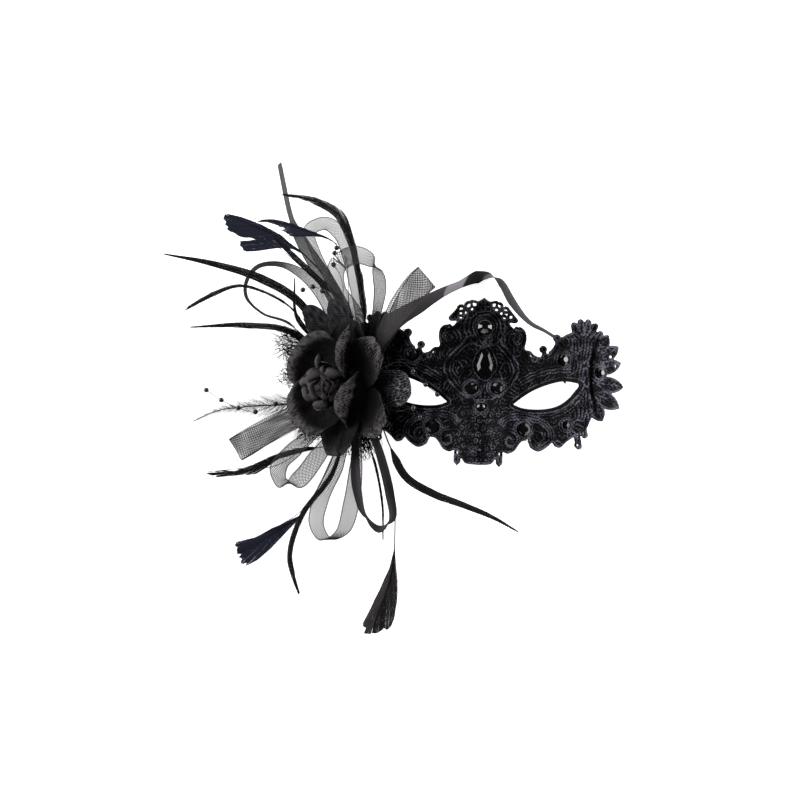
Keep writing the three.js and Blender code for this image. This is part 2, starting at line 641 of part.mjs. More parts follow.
const crinPieces = {
  crin_loop_left: {
    leave: [152, 'middle'], back: [122, 'low'],
    route: [[-62, 45.6, 6.5], [-78.3, 51.9, 7.4], [-87.9, 61.5, 8.4], [-87.9, 71.1, 9.6],
      [-80.7, 80.1, 11.4], [-66, 81, 12.4], [-50, 72, 11.6], [-39, 57, 10.4]],
    width: [2.4, 4.6, 9, 10, crinWidth, crinWidth, crinWidth, crinWidth, 10, 8, 4.6, 2.4],
    broad: [[0, 0.2, 1], [0, 0, 1], [0, 0, 1], [0.1, 0, 1], [0.3, 0.5, 0.8], [0.5, 0.9, 0.3],
      [0.3, 1, 0], [0.5, 0.9, 0]],
  },
  crin_strip_tall: {
    leave: [102, 'low'],
    route: [[-28.4, 50, 19], [-38, 68, 19], [-54.5, 95, 23], [-60.3, 107.7, 25], [-67.8, 141.3, 22]],
    width: [2.4, 4.6, 9, 10, 9, 10, 10],
    broad: [[-1, -0.4, 0], [-1, -0.4, -0.2], [-0.8, -0.3, -0.7], [-0.28, -0.1, -1], [-0.25, -0.1, -1]],
  },
  crin_loop_up: {
    leave: [83, 'low'], back: [90, 'middle'],
    route: [[-19, 48, 23], [-22.6, 72, 27], [-26.1, 88, 31], [-30.6, 98.6, 33], [-40, 105.2, 32],
      [-49.5, 101, 31], [-46, 88, 33], [-32, 60, 26]],
    width: [2.4, 4, 6, 8, 9, 9, 8, 8, 6, 5, 4, 2.4],
    broad: [[-1, 0, 0], [-0.9, -0.2, 0], [-0.6, -0.8, 0], [0.5, -0.9, -0.2], [0.9, -0.3, -0.3],
      [1, 0, -0.3]],
  },
  crin_loop_middle: {
    leave: [78, 'high'], back: [62, 'middle'],
    route: [[-20.5, 50, 36], [-33, 67, 42], [-32.5, 80, 46], [-22, 86, 46], [-11.6, 81.6, 43],
      [-7.6, 70, 38], [-8.8, 55, 32]],
    width: [2.4, 4, 7, 10, 11, 11, 9, 8, 6, 4, 2.4],
    broad: [[-1, -0.2, -0.3], [-0.8, -0.4, -0.2], [-0.2, -1, 0.2], [0.5, -0.8, 0.1], [1, -0.4, 0]],
  },
  crin_loop_boxy_right: {
    leave: [50, 'high'], back: [46, 'low'],
    route: [[4, 54, 42], [15, 68, 48], [20.6, 73, 45], [15, 67.6, 41], [4, 52, 34]],
    width: [2.4, 6, 15, 16, 16, 15.6, 12, 4, 2.4],
    broad: [[-0.6, 0.7, -0.1], [-0.6, 0.7, -0.1], [-0.6, 0.7, -0.1]],
  },
  crin_loop_boxy_left: {
    leave: [-156, 'middle'], back: [-154, 'low'],
    route: [[-60, -11, 5], [-80, -21.4, 9.4], [-91, -28, 10.6], [-94.8, -30.4, 8.6], [-88, -26.6, 6.4],
      [-66, -14.6, 3]],
    width: [2.4, 6, 14, 15, 15, 15, 15, 12, 5, 2.4],
    broad: [[-0.5, 0.85, 0], [-0.5, 0.85, 0], [-0.5, 0.85, 0]],
  },
  crin_loop_low_left: {
    leave: [-130, 'high'], back: [-119, 'low'],
    route: [[-59, -30, 8], [-68.6, -41, 13], [-66.6, -50, 12.4], [-57.5, -49, 9.6], [-45, -34, 10]],
    width: [2.4, 4, 10, crinWidth, crinWidth, crinWidth, 10, 4, 2.4],
    broad: [[-0.8, 0.6, -0.3], [-1, 0, -0.4], [-0.3, -0.6, -0.8], [-0.8, 0.5, -0.4], [-0.7, 0.7, -0.1]],
  },
  crin_loop_low: {
    leave: [-104, 'low'], back: [-86, 'low'],
    route: [[-34, -40, 14], [-43, -60, 12], [-45.8, -75, 12], [-40, -84, 16], [-30, -79, 22],
      [-24.9, -63.3, 24], [-22, -42, 23]],
    width: [2.4, 4, 9, 10, 10, 10, 10, 10, 8, 4, 2.4],
    broad: [[-1, 0.2, 0.4], [-0.9, 0.3, 0.4], [-0.8, 0, 0.5], [-0.9, -0.2, 0.4], [-1, -0.1, 0.1]],
  },
};
addStrips(crinPieces, crin, crinThick);

addStrips({
  satin_loop_dark: {
    leave: [-82, 'high'], back: [-58, 'high'],
    route: [[-22.4, -38, 28], [-21, -55, 30], [-16.6, -70, 29], [-7.6, -77.6, 30], [-0.2, -72, 34],
      [-1.6, -56, 36], [-7, -34, 36]],
    width: [2.4, 4, 6, 6, 6, 6, 6, 6, 5, 4, 2.4],
    broad: [[1, 0, 0.3], [0.6, -0.5, 0.6], [0, -0.7, 0.7], [-0.8, 0, 0.7], [-1, 0, 0.3]],
  },
}, satin, crinThick);

const feathers = {
  feather_blade_left: {
    leave: [138, 'low'],
    route: [[-55.5, 57.9, 10.4], [-78.3, 72.3, 16.6], [-108, 81.5, 22], [-137.1, 87.3, 20]],
    width: [1.6, 3, 5, 5, 3, 0.8],
  },
  feather_curved_left: {
    leave: [148, 'high'],
    route: [[-60, 54, 19], [-78.3, 65, 26], [-92, 68, 26], [-108, 63, 22], [-125.1, 53.7, 16]],
    width: [1.2, 1.6, 2, 2.6, 2.6, 3, 1],
  },
  feather_wisp_left: {
    leave: [164, 'low'],
    route: [[-60, 37, 2.6], [-88, 44.1, 13], [-122.1, 43.5, 16]],
    width: [1.2, 1.8, 3, 3, 0.8],
  },
  feather_paddle_tall: {
    leave: [108, 'middle'],
    route: [[-34.6, 57, 24], [-45, 70, 31], [-60, 84, 36], [-72, 94.6, 35], [-84, 101, 34], [-98, 107, 33]],
    width: [1.4, 2, 3, 6, 13, 17, 9],
  },
  feather_paddle_small: {
    leave: [90, 'high'],
    route: [[-25.5, 48, 29], [-26.2, 60, 33.6], [-26.4, 72, 44], [-28, 84, 54], [-37, 95, 55],
      [-49, 99.6, 54], [-62, 102, 52], [-81.9, 107.7, 49]],
    width: [1, 1.2, 1.4, 1.4, 1.4, 2, 8, 7, 1],
  },
  feather_crook_up: {
    leave: [70, 'low'],
    route: [[-16.6, 50, 30], [-20.4, 76, 38], [-26.7, 99.9, 41], [-33, 111, 41], [-48, 119, 40],
      [-66.9, 122.7, 38]],
    width: [2, 3.6, 5, 4.6, 6, 5, 1],
  },
  feather_spike: {
    leave: [132, 'middle'],
    route: [[-57, 48, 9.6], [-58.8, 72.9, 24]],
    width: [1, 1.8, 2.4, 0.8],
  },
  feather_brush_low_left: {
    leave: [-138, 'low'],
    route: [[-56, -31, 4], [-72, -40.4, 4.4], [-92, -41.6, 5], [-112, -43.6, 5]],
    width: [1.6, 4, 6, 5, 4, 7],
  },
  feather_paddle_low_left: {
    leave: [-110, 'middle'],
    route: [[-39, -42, 19], [-54, -66, 20], [-70, -77, 20], [-92.1, -92.1, 19]],
    width: [1.4, 2, 3, 8, 15.4],
  },
  feather_crook_low: {
    leave: [-100, 'high'],
    route: [[-36, -44, 25], [-54, -69, 26], [-61.5, -92.1, 26], [-59.6, -105.3, 24], [-55.8, -117.3, 22]],
    width: [1.4, 2.6, 4, 4, 3, 0.8],
  },
  feather_paddle_low: {
    leave: [-66, 'low'],
    route: [[-4, -38, 31], [1, -62, 27], [1.2, -86, 24], [-0.6, -106, 23], [-7, -124, 22], [-12, -139, 21]],
    width: [1.4, 1.8, 1.6, 3, 12, 15, 12],
  },
  feather_sickle_right: {
    leave: [-44, 'low'],
    route: [[-1.4, -28, 45], [8, -46, 45], [24, -56, 40], [42, -63, 33], [60, -70.6, 26],
      [75.6, -79.5, 20]],
    width: [1.6, 4, 5, 5, 4.4, 3, 0.8],
  },
  feather_fluffy_left: {
    leave: [-167, 'low'],
    route: [[-66, -3, 3], [-78, -3.6, 3.6], [-90.3, -4.5, 5], [-105.9, -6.9, 7], [-119.7, -12.9, 6]],
    width: [1.4, 2, 3.4, 9, 11, 8, 1],
  },
  feather_strip_low: {
    leave: [-73, 'middle'],
    route: [[-9.6, -42, 25], [-6, -64, 24], [-5.7, -84.3, 22]],
    width: [1.2, 1.6, 1.8, 1.6, 0.8],
  },
};
addStrips(feathers, feather, quillThick);

// Bead sprays: beads threaded on a thin wire, one at each of the route's last points, fused where wire
// and bead meet.
function sprayGeometry(route, beads) {
  let body = toSolid(strip({ route, width: [beadWire, beadWire], thick: beadWire, steps: route.length }));
  for (const spot of route.slice(-beads)) {
    body = body.add(toSolid(new THREE.OctahedronGeometry(beadRadius).translate(...spot)));
  }
  return fromSolid(body);
}

const sprays = {
  bead_spray_up: {
    leave: [101, 'high'],
    route: [[-30, 52, 22], [-29.4, 66, 25], [-32, 76, 33], [-35.1, 80.4, 38], [-34.5, 87.3, 39],
      [-33.3, 90.4, 39]],
    beads: 3,
  },
  bead_spray_up_left: {
    leave: [117, 'high'],
    route: [[-38, 57, 18], [-42, 65, 25], [-47.7, 67.5, 27], [-53.7, 65.7, 25]],
    beads: 3,
  },
  bead_spray_left: {
    leave: [-174, 'middle'],
    route: [[-58, -2.6, 8], [-70.5, -2.7, 11], [-82.5, -7.5, 12], [-92.7, -5.1, 13], [-102.9, -0.3, 14],
      [-111.9, 5.7, 15]],
    beads: 5,
  },
  bead_spray_right_up: {
    leave: [24, 'high'],
    route: [[5.1, 22.5, 48], [12.3, 16.7, 51], [19.8, 8.9, 51], [26.7, 3.1, 50]],
    beads: 3,
  },
  bead_spray_right_low: {
    leave: [-24, 'high'],
    route: [[3, -7, 49], [12.3, -5.3, 52], [16.5, -10.5, 52], [21.3, -21.3, 51]],
    beads: 3,
  },
};
for (const [name, { leave, route, beads }] of Object.entries(sprays)) {
  addPiece(whole, name, sprayGeometry([...rootStretch(leave), ...route], beads), glass);
}

// The tie: one satin ribbon from the back of the left temple, over the table and up to the back of the
// right brow, flat at first, folded over once and nearly edge-on at its far end.
addPiece(whole, 'ribbon_tie', strip({
  route: [[-13, 25, 13], [-6, 36, 11], [0.6, 46.5, 9], [15.9, 56.4, 6.6], [30, 64.6, 5.4],
    [40.5, 69.3, 5.2], [51, 73.8, 5.6], [57.6, 74.6, 6], [65.1, 70.4, 7], [71.1, 60.3, 9],
    [77.7, 51.3, 13], [84.4, 44.4, 18], [92, 37.6, 24], [96, 32, 28.4]],
  width: [tieWidth, tieWidth],
  broad: [[0.8, -0.5, 0.2], [0.6, -0.8, 0], [0.5, -0.8, 0.1], [0.3, -0.7, 0.5], [0, -0.3, 0.9],
    [0.6, 0.5, 0.6], [0.6, 0.3, 0.7], [0.3, 0.2, 0.9], [0.3, 0.2, 0.8]],
  thick: tieThick,
  steps: 28,
}), satin);

// The whole is moved so that the middle of everything but the loose tie stands over the origin.
const reach = new THREE.Box3();
whole.updateMatrixWorld(true);
whole.traverse((piece) => {
  if (piece.isMesh && piece.name !== 'ribbon_tie') {
    reach.union(new THREE.Box3().setFromObject(piece, true));
  }
});
const centre = reach.getCenter(new THREE.Vector3());
whole.position.set(-centre.x, -centre.y, -reach.min.z);

export default whole;
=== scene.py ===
import math

import bmesh
import bpy
import numpy as np
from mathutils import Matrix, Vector


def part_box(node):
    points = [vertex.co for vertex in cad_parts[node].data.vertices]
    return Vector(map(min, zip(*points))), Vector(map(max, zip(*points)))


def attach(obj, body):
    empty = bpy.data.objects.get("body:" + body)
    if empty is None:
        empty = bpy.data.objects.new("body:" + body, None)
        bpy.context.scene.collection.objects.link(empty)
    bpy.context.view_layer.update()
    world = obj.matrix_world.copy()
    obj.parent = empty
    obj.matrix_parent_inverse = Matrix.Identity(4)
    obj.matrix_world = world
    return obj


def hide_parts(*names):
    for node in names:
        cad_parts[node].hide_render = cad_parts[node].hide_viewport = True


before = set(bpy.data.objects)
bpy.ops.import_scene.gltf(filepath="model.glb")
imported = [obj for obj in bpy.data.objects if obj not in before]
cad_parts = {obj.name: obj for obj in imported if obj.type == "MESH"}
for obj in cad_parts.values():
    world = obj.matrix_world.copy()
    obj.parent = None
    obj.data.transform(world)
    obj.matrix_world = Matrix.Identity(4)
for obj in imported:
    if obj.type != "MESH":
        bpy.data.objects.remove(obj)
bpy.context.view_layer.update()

# A black lace eye mask with a rose corsage, lying face up on a white table.
# Lengths are millimetres in the part's own layout, which `shift` moves into the row frame.
corsageFoot = np.array([-19.2, 8.0, 17.4])
corsageTilt = math.radians(41)    # the flower faces left by this much
feltRadius = 19
feltGap = 0.3
outward = np.array([-math.sin(corsageTilt), 0, math.cos(corsageTilt)])
rightward = np.array([math.cos(corsageTilt), 0, math.sin(corsageTilt)])
crownward = np.array([0.0, 1.0, 0.0])


# The layout's place, from the felt disc's box: its right end in x and its middle in y.
def layoutShift():
    low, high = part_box("felt_base")
    right = corsageFoot[0] + feltRadius * rightward[0] + feltGap * outward[0]
    return np.array([high.x * 1000 - right, (low.y + high.y) * 500 - corsageFoot[1], 0])


shift = layoutShift()
print("layout moved by", shift.round(4))


# Layout millimetres to metres in the frame: (p + shift) / 1000.
def inFrame(points):
    return (np.asarray(points, float) + shift) / 1000


# Colour: sRGB hex to linear, c/12.92 below 0.04045 and ((c + 0.055)/1.055)^2.4 above it.
def linear(code):
    parts = np.array([int(code[i:i + 2], 16) for i in (1, 3, 5)]) / 255
    return (*np.where(parts < 0.04045, parts / 12.92, ((parts + 0.055) / 1.055) ** 2.4), 1.0)


# One node, its sockets set to a value or linked to another node's output.
def addNode(tree, kind, sockets=None, **settings):
    node = tree.nodes.new("ShaderNode" + kind)
    for name, value in settings.items():
        setattr(node, name, value)
    for name, value in (sockets or {}).items():
        if isinstance(value, bpy.types.NodeSocket):
            tree.links.new(value, node.inputs[name])
        else:
            node.inputs[name].default_value = value
    return node


# A plain surface; its colour is left out where a texture gives it, and further sockets are named
# with _ for a space.
def makeMaterial(name, roughness, specular=0.5, colour=None, **sockets):
    material = bpy.data.materials.new(name)
    material.use_nodes = True
    shader = material.node_tree.nodes["Principled BSDF"]
    sockets.update(Roughness=roughness, Specular_IOR_Level=specular)
    if colour:
        sockets["Base_Color"] = linear(colour)
    for socket, value in sockets.items():
        shader.inputs[socket.replace("_", " ")].default_value = value
    return material


# Two colours mixed along a value: colour = low + (high - low) * value, where the value passes `start`.
def mixColours(tree, value, low, high, start=0.0):
    ramp = addNode(tree, "ValToRGB", {"Fac": value})
    for element, code in zip(ramp.color_ramp.elements, (low, high)):
        element.color = linear(code)
    ramp.color_ramp.elements[0].position = start
    tree.links.new(ramp.outputs["Color"], tree.nodes["Principled BSDF"].inputs["Base Color"])


# Small relief, `depth` millimetres high.
def addBump(tree, height, depth, strength):
    bump = addNode(tree, "Bump", {"Height": height, "Distance": depth / 1000, "Strength": strength})
    tree.links.new(bump.outputs["Normal"], tree.nodes["Principled BSDF"].inputs["Normal"])


# A noise in the part's own space, `scale` grains to the metre, as a value.
def grainNoise(tree, scale, detail):
    spot = addNode(tree, "TexCoord").outputs["Object"]
    return addNode(tree, "TexNoise", {"Vector": spot, "Scale": scale, "Detail": detail}).outputs["Fac"]


# A mesh of layout points, its faces one index array or a list of such arrays, with named values
# for each point.
def makePiece(name, points, faces, material, slotName, nodes, values=None, isSmooth=True):
    mesh = bpy.data.meshes.new(name)
    points = inFrame(np.asarray(points).reshape(-1, 3))
    groups = faces if isinstance(faces, list) else [faces]
    sizes = np.concatenate([np.full(len(group), group.shape[1]) for group in groups])
    corners = np.concatenate([group.ravel() for group in groups]).astype(np.int32)
    mesh.vertices.add(len(points))
    mesh.vertices.foreach_set("co", points.ravel())
    mesh.loops.add(len(corners))
    mesh.loops.foreach_set("vertex_index", corners)
    mesh.polygons.add(len(sizes))
    mesh.polygons.foreach_set("loop_start", (np.cumsum(sizes) - sizes).astype(np.int32))
    mesh.polygons.foreach_set("use_smooth", np.full(len(sizes), isSmooth))
    mesh.update(calc_edges=True)
    for attribute, numbers in (values or {}).items():
        layer = mesh.attributes.new(attribute, "FLOAT", "POINT")
        layer.data.foreach_set("value", np.asarray(numbers, np.float32).ravel())
    mesh.materials.append(material)
    piece = bpy.data.objects.new(name, mesh)
    bpy.context.collection.objects.link(piece)
    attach(piece, "root")
    if nodes:
        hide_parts(*nodes)
    return piece


# Cloth of a wall thickness: centred on the surface for offset 0, and all behind it for -1.
def thicken(piece, thickness, offset=0.0):
    wall = piece.modifiers.new("wall", "SOLIDIFY")
    wall.thickness = thickness / 1000
    wall.offset = offset


# Quads of a grid of rows x columns points; a round grid's last column meets its first.
def gridFaces(rows, columns, isRound=False):
    r = np.arange(rows - 1)[:, None]
    c = np.arange(columns if isRound else columns - 1)[None, :]
    nextC = (c + 1) % columns
    return np.stack([r * columns + c, r * columns + nextC, (r + 1) * columns + nextC,
                     (r + 1) * columns + c], axis=-1).reshape(-1, 4)


# The same faces for each of many equal patches of `size` points.
def repeatFaces(faces, count, size):
    return (faces[None] + (np.arange(count) * size)[:, None, None]).reshape(-1, faces.shape[1])


# Several patches as one, each one's face numbers moved on past the points before it.
def joinParts(parts):
    starts = np.cumsum([0] + [len(points) for points, _ in parts])
    return (np.concatenate([points for points, _ in parts]),
            np.concatenate([faces + start for (_, faces), start in zip(parts, starts)]))


# Two parameters on a grid: the first runs along rows, the second along columns.
def twoWays(first, second):
    return np.meshgrid(first, second, indexing="ij")


# Vectors made one long: v / |v|.
def unit(vectors):
    return vectors / np.maximum(np.linalg.norm(vectors, axis=-1, keepdims=True), 1e-9)


def clamp(values):
    return np.clip(values, 0, 1)


# A round hump round a middle: sqrt(1 - ((d - middle) / radius)^2), and 0 beyond it.
def hump(distance, radius, middle=0):
    return np.sqrt(np.maximum(1 - ((distance - middle) / radius) ** 2, 0))


# A seeded smooth noise in two variables: the mean of sines with random directions and phases
# and wavelengths near `wave`, scaled so that it mostly lies between -1 and 1.
def sineNoise(a, b, wave, seed, count=12):
    rng = np.random.default_rng(seed)
    turn = rng.uniform(0, 2 * math.pi, count)
    phase = rng.uniform(0, 2 * math.pi, count)
    rate = 2 * math.pi / (wave * rng.uniform(0.8, 1.25, count))
    total = np.zeros(np.broadcast(a, b).shape)
    for one in range(count):
        total += np.sin(rate[one] * (a * math.cos(turn[one]) + b * math.sin(turn[one])) + phase[one])
    return total * 2 / count ** 0.5 / 1.4


# Normals of a surface grid: the cross product of its steps along columns and along rows.
def gridNormals(points):
    return unit(np.cross(np.gradient(points, axis=1), np.gradient(points, axis=0)))


# Steps between neighbours along an axis, added up from 0.
def runLength(points, axis=0):
    steps = np.linalg.norm(np.diff(points, axis=axis, prepend=np.take(points, [0], axis)), axis=-1)
    return np.cumsum(steps, axis=axis)


# Values spread evenly over 0..1, read at t.
def blend(values, t):
    values = np.asarray(values, float)
    places = np.linspace(0, 1, len(values))
    if values.ndim == 1:
        return np.interp(t, places, values)
    return np.stack([np.interp(t, places, column) for column in values.T], axis=-1)


# A centripetal Catmull-Rom curve, as in the part: knot steps are the square roots of the chords,
# and a Hermite cubic runs between each pair of points.
def splinePoints(route, t):
    route = np.asarray(route, float)
    ends = [2 * route[0] - route[1]], [2 * route[-1] - route[-2]]
    knots = np.concatenate([ends[0], route, ends[1]])
    at = np.clip(t, 0, 1) * (len(route) - 1)
    first = np.minimum(at.astype(int), len(route) - 2)
    w = (at - first)[:, None]
    p0, p1, p2, p3 = (knots[first + k] for k in range(4))
    step = [np.maximum(np.linalg.norm(b - a, axis=1, keepdims=True), 1e-6) ** 0.5
            for a, b in ((p0, p1), (p1, p2), (p2, p3))]
    m1 = ((p1 - p0) / step[0] - (p2 - p0) / (step[0] + step[1]) + (p2 - p1) / step[1]) * step[1]
    m2 = ((p2 - p1) / step[1] - (p3 - p1) / (step[1] + step[2]) + (p3 - p2) / step[2]) * step[1]
    return (p1 + m1 * w + (-3 * p1 + 3 * p2 - 2 * m1 - m2) * w ** 2 + (2 * p1 - 2 * p2 + m1 + m2) * w ** 3)


# The frame of a strip along a route: centre, side, normal and half width against the arc length.
# side is the given broad vector, or level, made square to the tangent; normal = side x tangent.
# Both ends go on straight for `spare` millimetres.
def stripLine(route, width, broad=None, spare=14):
    t = np.linspace(0, 1, 500)
    centre = splinePoints(route, t)
    along = unit(np.gradient(centre, axis=0))
    side = blend(broad, t) if broad is not None else np.cross(along, [0, 0, 1])
    side = unit(side - along * np.sum(side * along, axis=1, keepdims=True))
    arc = runLength(centre)
    centre = np.concatenate([[centre[0] - along[0] * spare], centre, [centre[-1] + along[-1] * spare]])
    line = {"arc": np.concatenate([[-spare], arc, [arc[-1] + spare]]), "length": arc[-1], "centre": centre}
    columns = {"side": side, "normal": unit(np.cross(side, along)), "half": blend(width, t) / 2}
    for key, rows in columns.items():
        line[key] = np.concatenate([rows[:1], rows, rows[-1:]])
    return line


# Arc lengths spread evenly from one end of a line to the other.
def evenly(line, count):
    return np.linspace(0, line["length"], count)


# A column of the strip's frame, read at arc lengths u.
def readLine(line, key, u):
    values = line[key]
    if values.ndim == 1:
        return np.interp(u, line["arc"], values)
    return np.stack([np.interp(u, line["arc"], column) for column in values.T], axis=-1)


# A spot of a strip: centre(u) + side(u) * across + normal(u) * lift.
def onLine(line, u, across=0.0, lift=0.0):
    u, across, lift = np.broadcast_arrays(u, across, lift)
    return (readLine(line, "centre", u) + readLine(line, "side", u) * across[..., None]
            + readLine(line, "normal", u) * lift[..., None])


# Round tubes along many equal paths of shape (count, steps, 3), with a radius for each spot.
def tubes(paths, radii, sides=3):
    paths = np.asarray(paths, float)
    if paths.ndim == 2:
        paths = paths[None]
    count, steps = paths.shape[:2]
    along = unit(np.gradient(paths, axis=1))
    helper = np.where(np.abs(along[..., 2:]) > 0.8, [[[1.0, 0, 0]]], [[[0, 0, 1.0]]])
    side = unit(np.cross(along, helper))
    other = np.cross(side, along)
    angle = np.arange(sides) * 2 * math.pi / sides
    radii = np.broadcast_to(np.asarray(radii, float), (count, steps))[..., None, None]
    rings = (paths[:, :, None] + radii * (side[:, :, None] * np.cos(angle)[:, None]
                                          + other[:, :, None] * np.sin(angle)[:, None]))
    return rings.reshape(-1, 3), repeatFaces(gridFaces(steps, sides, True), count, steps * sides)


# A spot of the corsage, polar about its foot: foot + right * r cos a + crown * r sin a + out * h.
def corsagePoint(radius, azimuth, height):
    radius, azimuth, height = np.broadcast_arrays(radius, np.radians(azimuth), height)
    return (corsageFoot + rightward * (radius * np.cos(azimuth))[..., None]
            + crownward * (radius * np.sin(azimuth))[..., None] + outward * height[..., None])


# Strips and feathers leave the hub in three layers, first straight out from 11.7 to 23 mm.
layers = {"low": 4.2, "middle": 6, "high": 7.8}


def rootStretch(azimuth, layer):
    return corsagePoint(np.array([11.7, 23]), azimuth, layers[layer])


# At the hub a strip lies flat round it, turned the same way as its first broad vector outside.
def rootBroad(azimuth, neighbour):
    sideways = corsagePoint(1, azimuth + 90, 0) - corsageFoot
    return [sideways * np.sign(sideways @ np.asarray(neighbour, float))] * 2


# The full line of a piece that leaves the hub, and may come back to it.
def hubLine(leave, route, width=(1, 1), back=None, broad=None):
    full = [*rootStretch(*leave), *route]
    turns = [*rootBroad(leave[0], broad[0]), *broad] if broad else None
    if back:
        full += list(rootStretch(*back)[::-1])
        turns += rootBroad(back[0], broad[-1])
    return stripLine(full, width, turns)


def addCamera():
    data = bpy.data.cameras.new("camera")
    data.lens = 225                # a long lens: 480 mm of table across the frame at 3 m
    data.sensor_width = 36
    data.clip_end = 20
    camera = bpy.data.objects.new("camera", data)
    bpy.context.collection.objects.link(camera)
    camera.location = (*inFrame([4.5, -0.3, 0])[:2], 3.02)
    bpy.context.scene.camera = camera


addCamera()

# Satin ribbon

# A strip bowed across: lift = bow * (1 - s^2).
def ribbonSurface(line, rows, columns, bow=0.0):
    u = evenly(line, rows)[:, None]
    s = np.linspace(-1, 1, columns)[None, :]
    half = readLine(line, "half", u[:, 0])[:, None]
    points = onLine(line, u + 0 * s, half * s, bow * (1 - s ** 2) + 0 * u)
    return points, gridFaces(rows, columns), np.broadcast_to(half * s, (rows, columns))


# Woven polyester satin: long floats run along the ribbon, and its streaky soft shine is painted into the
# colour. The streaks are about 0.5 mm wide. The painted sheen value makes the face lighter where it turns to
# the light, and darker where the dull back shows.
def satinMaterial():
    material = makeMaterial("Woven satin ribbon, dark grey", 0.5, 0.02)
    tree = material.node_tree
    threads = addNode(tree, "Attribute", attribute_name="across")
    stretch = addNode(tree, "CombineXYZ", {"X": threads.outputs["Fac"]})
    streaks = addNode(tree, "TexNoise", {"Vector": stretch.outputs[0], "Scale": 2.2, "Detail": 3.0})
    turned = addNode(tree, "Attribute", attribute_name="paintedSheenAndDullBack")
    paintedSheenAndDullBack = addNode(tree, "Math", {0: streaks.outputs["Fac"], 1: turned.outputs["Fac"]}, operation="MULTIPLY")
    mixColours(tree, paintedSheenAndDullBack.outputs["Value"], "#131112", "#827e84")
    addBump(tree, streaks.outputs["Fac"], 0.12, 0.5)
    return material


satin = satinMaterial()
tie = {
    "route": [[-13, 25, 13], [-6, 36, 11], [0.6, 46.5, 9], [15.9, 56.4, 6.6], [30, 64.6, 5.4],
              [40.5, 69.3, 5.2], [51, 73.8, 5.6], [57.6, 74.6, 6], [65.1, 70.4, 7], [71.1, 60.3, 9],
              [76.8, 52.4, 13], [83, 46, 18], [91, 41.2, 24], [99.5, 35.8, 29.4]],
    "broad": [[0.8, -0.5, 0.2], [0.7, -0.6, 0.1], [0.65, -0.75, 0.25], [0.5, -0.85, 0.75],
              [0.48, -0.88, 1.7], [0.42, -0.9, 2.3], [0.4, -0.92, 1], [0.1, -1, 2.2], [0.8, 0.6, 2.8],
              [0.8, 0.6, 2.3], [0.75, 0.66, 3.4], [0.7, 0.7, 6], [0.65, 0.75, 9], [0.6, 0.8, 9]],
    "width": 11,
    "thick": 0.3,
    "bow": 0.5,
    # Painted sheen: the face is painted lighter where it turns to the light, from 63 to 76 mm along, and a
    # little lighter again past 90 mm. The dull back shows, darker, up to 89 mm.
    "along": [0, 62.6, 64.2, 75.6, 76.6, 89, 90.4, 200],
    "paintedSheenAndDullBack": [0.4, 0.34, 3, 2.2, 0.01, 0.01, 0.72, 0.6],
    "slope": 0.6,                 # how far the limits of the sheen slant across
}


def addTie():
    line = stripLine(tie["route"], [tie["width"]] * 2, tie["broad"])
    rows = 260
    points, faces, across = ribbonSurface(line, rows, 13, tie["bow"])
    # Painted sheen along the ribbon, its limits slanting across.
    along = evenly(line, rows)[:, None] + tie["slope"] * across
    paintedSheenAndDullBack = np.interp(along, tie["along"], tie["paintedSheenAndDullBack"])
    piece = makePiece("ribbonTie", points, faces, satin, "satin", ["ribbon_tie"],
                      {"across": across, "paintedSheenAndDullBack": paintedSheenAndDullBack})
    thicken(piece, tie["thick"])
    path = inFrame(onLine(line, evenly(line, 80)))
    print("tie", round(line["length"], 1), "mm")


addTie()

# The lace mask

lace = {
    "place": np.array([52.2, -0.3, 0]),
    "lean": math.radians(-2.3),
    "cell": 0.36,                 # between spots of the relief's grid
    "wall": 1.6,
    "relief": 1.25,               # how high a rise of 1 stands
    "temple": 0.9,                # how much higher the temple leaves lie
    "swell": 1.05,                # cords are drawn this much thicker than listed
    "ground": 0.12,               # what is left of the ground beside a cord
    "moat": 0.7,                  # ground cleared beside a cord
    "twist": 1.3,                 # one turn of a cord's thread
    "finger": 1.95,               # half width of the fingers on the edge
    "picot": 0.85,                # thread round each hole of the crown
    "eyeCords": ((0.8, 0.75, 0.6), (2.4, 0.55, 0.9)),    # distance from the hole, radius, height
    "edgeCord": (0.8, 0.8, 0.95),
}


# Height of the shell's front: a bow across, less a crown that leans back, plus a nose that swells
# downwards, less the bent-back temple tips.
def frontHeight(x, y):
    growth = clamp((24 - y) / 50)
    growth = growth * growth * (3 - 2 * growth)
    return (50.2 - 48 * (x / 85) ** 2 + 13 * growth * np.exp(-(x / 13) ** 2)
            - 0.0016 * np.maximum(y, 0) ** 2 - 0.02 * np.maximum(np.abs(x) - 76, 0) ** 2)


# Spots of the front moved out by `lift` along its normal (-dz/dx, -dz/dy, 1), and that normal.
def frontPoints(x, y, lift):
    step = 0.05
    slopeX = (frontHeight(x + step, y) - frontHeight(x - step, y)) / (2 * step)
    slopeY = (frontHeight(x, y + step) - frontHeight(x, y - step)) / (2 * step)
    normal = unit(np.stack([-slopeX, -slopeY, np.ones_like(slopeX)], axis=-1))
    return np.stack([x, y, frontHeight(x, y)], axis=-1) + normal * np.asarray(lift)[..., None], normal


# The mask's own layout to the part's: turned by its lean on the table, then moved to its place.
def fromMask(points):
    x, y = points[..., 0], points[..., 1]
    c, s = math.cos(lace["lean"]), math.sin(lace["lean"])
    return np.stack([x * c - y * s, x * s + y * c, points[..., 2]], axis=-1) + lace["place"]


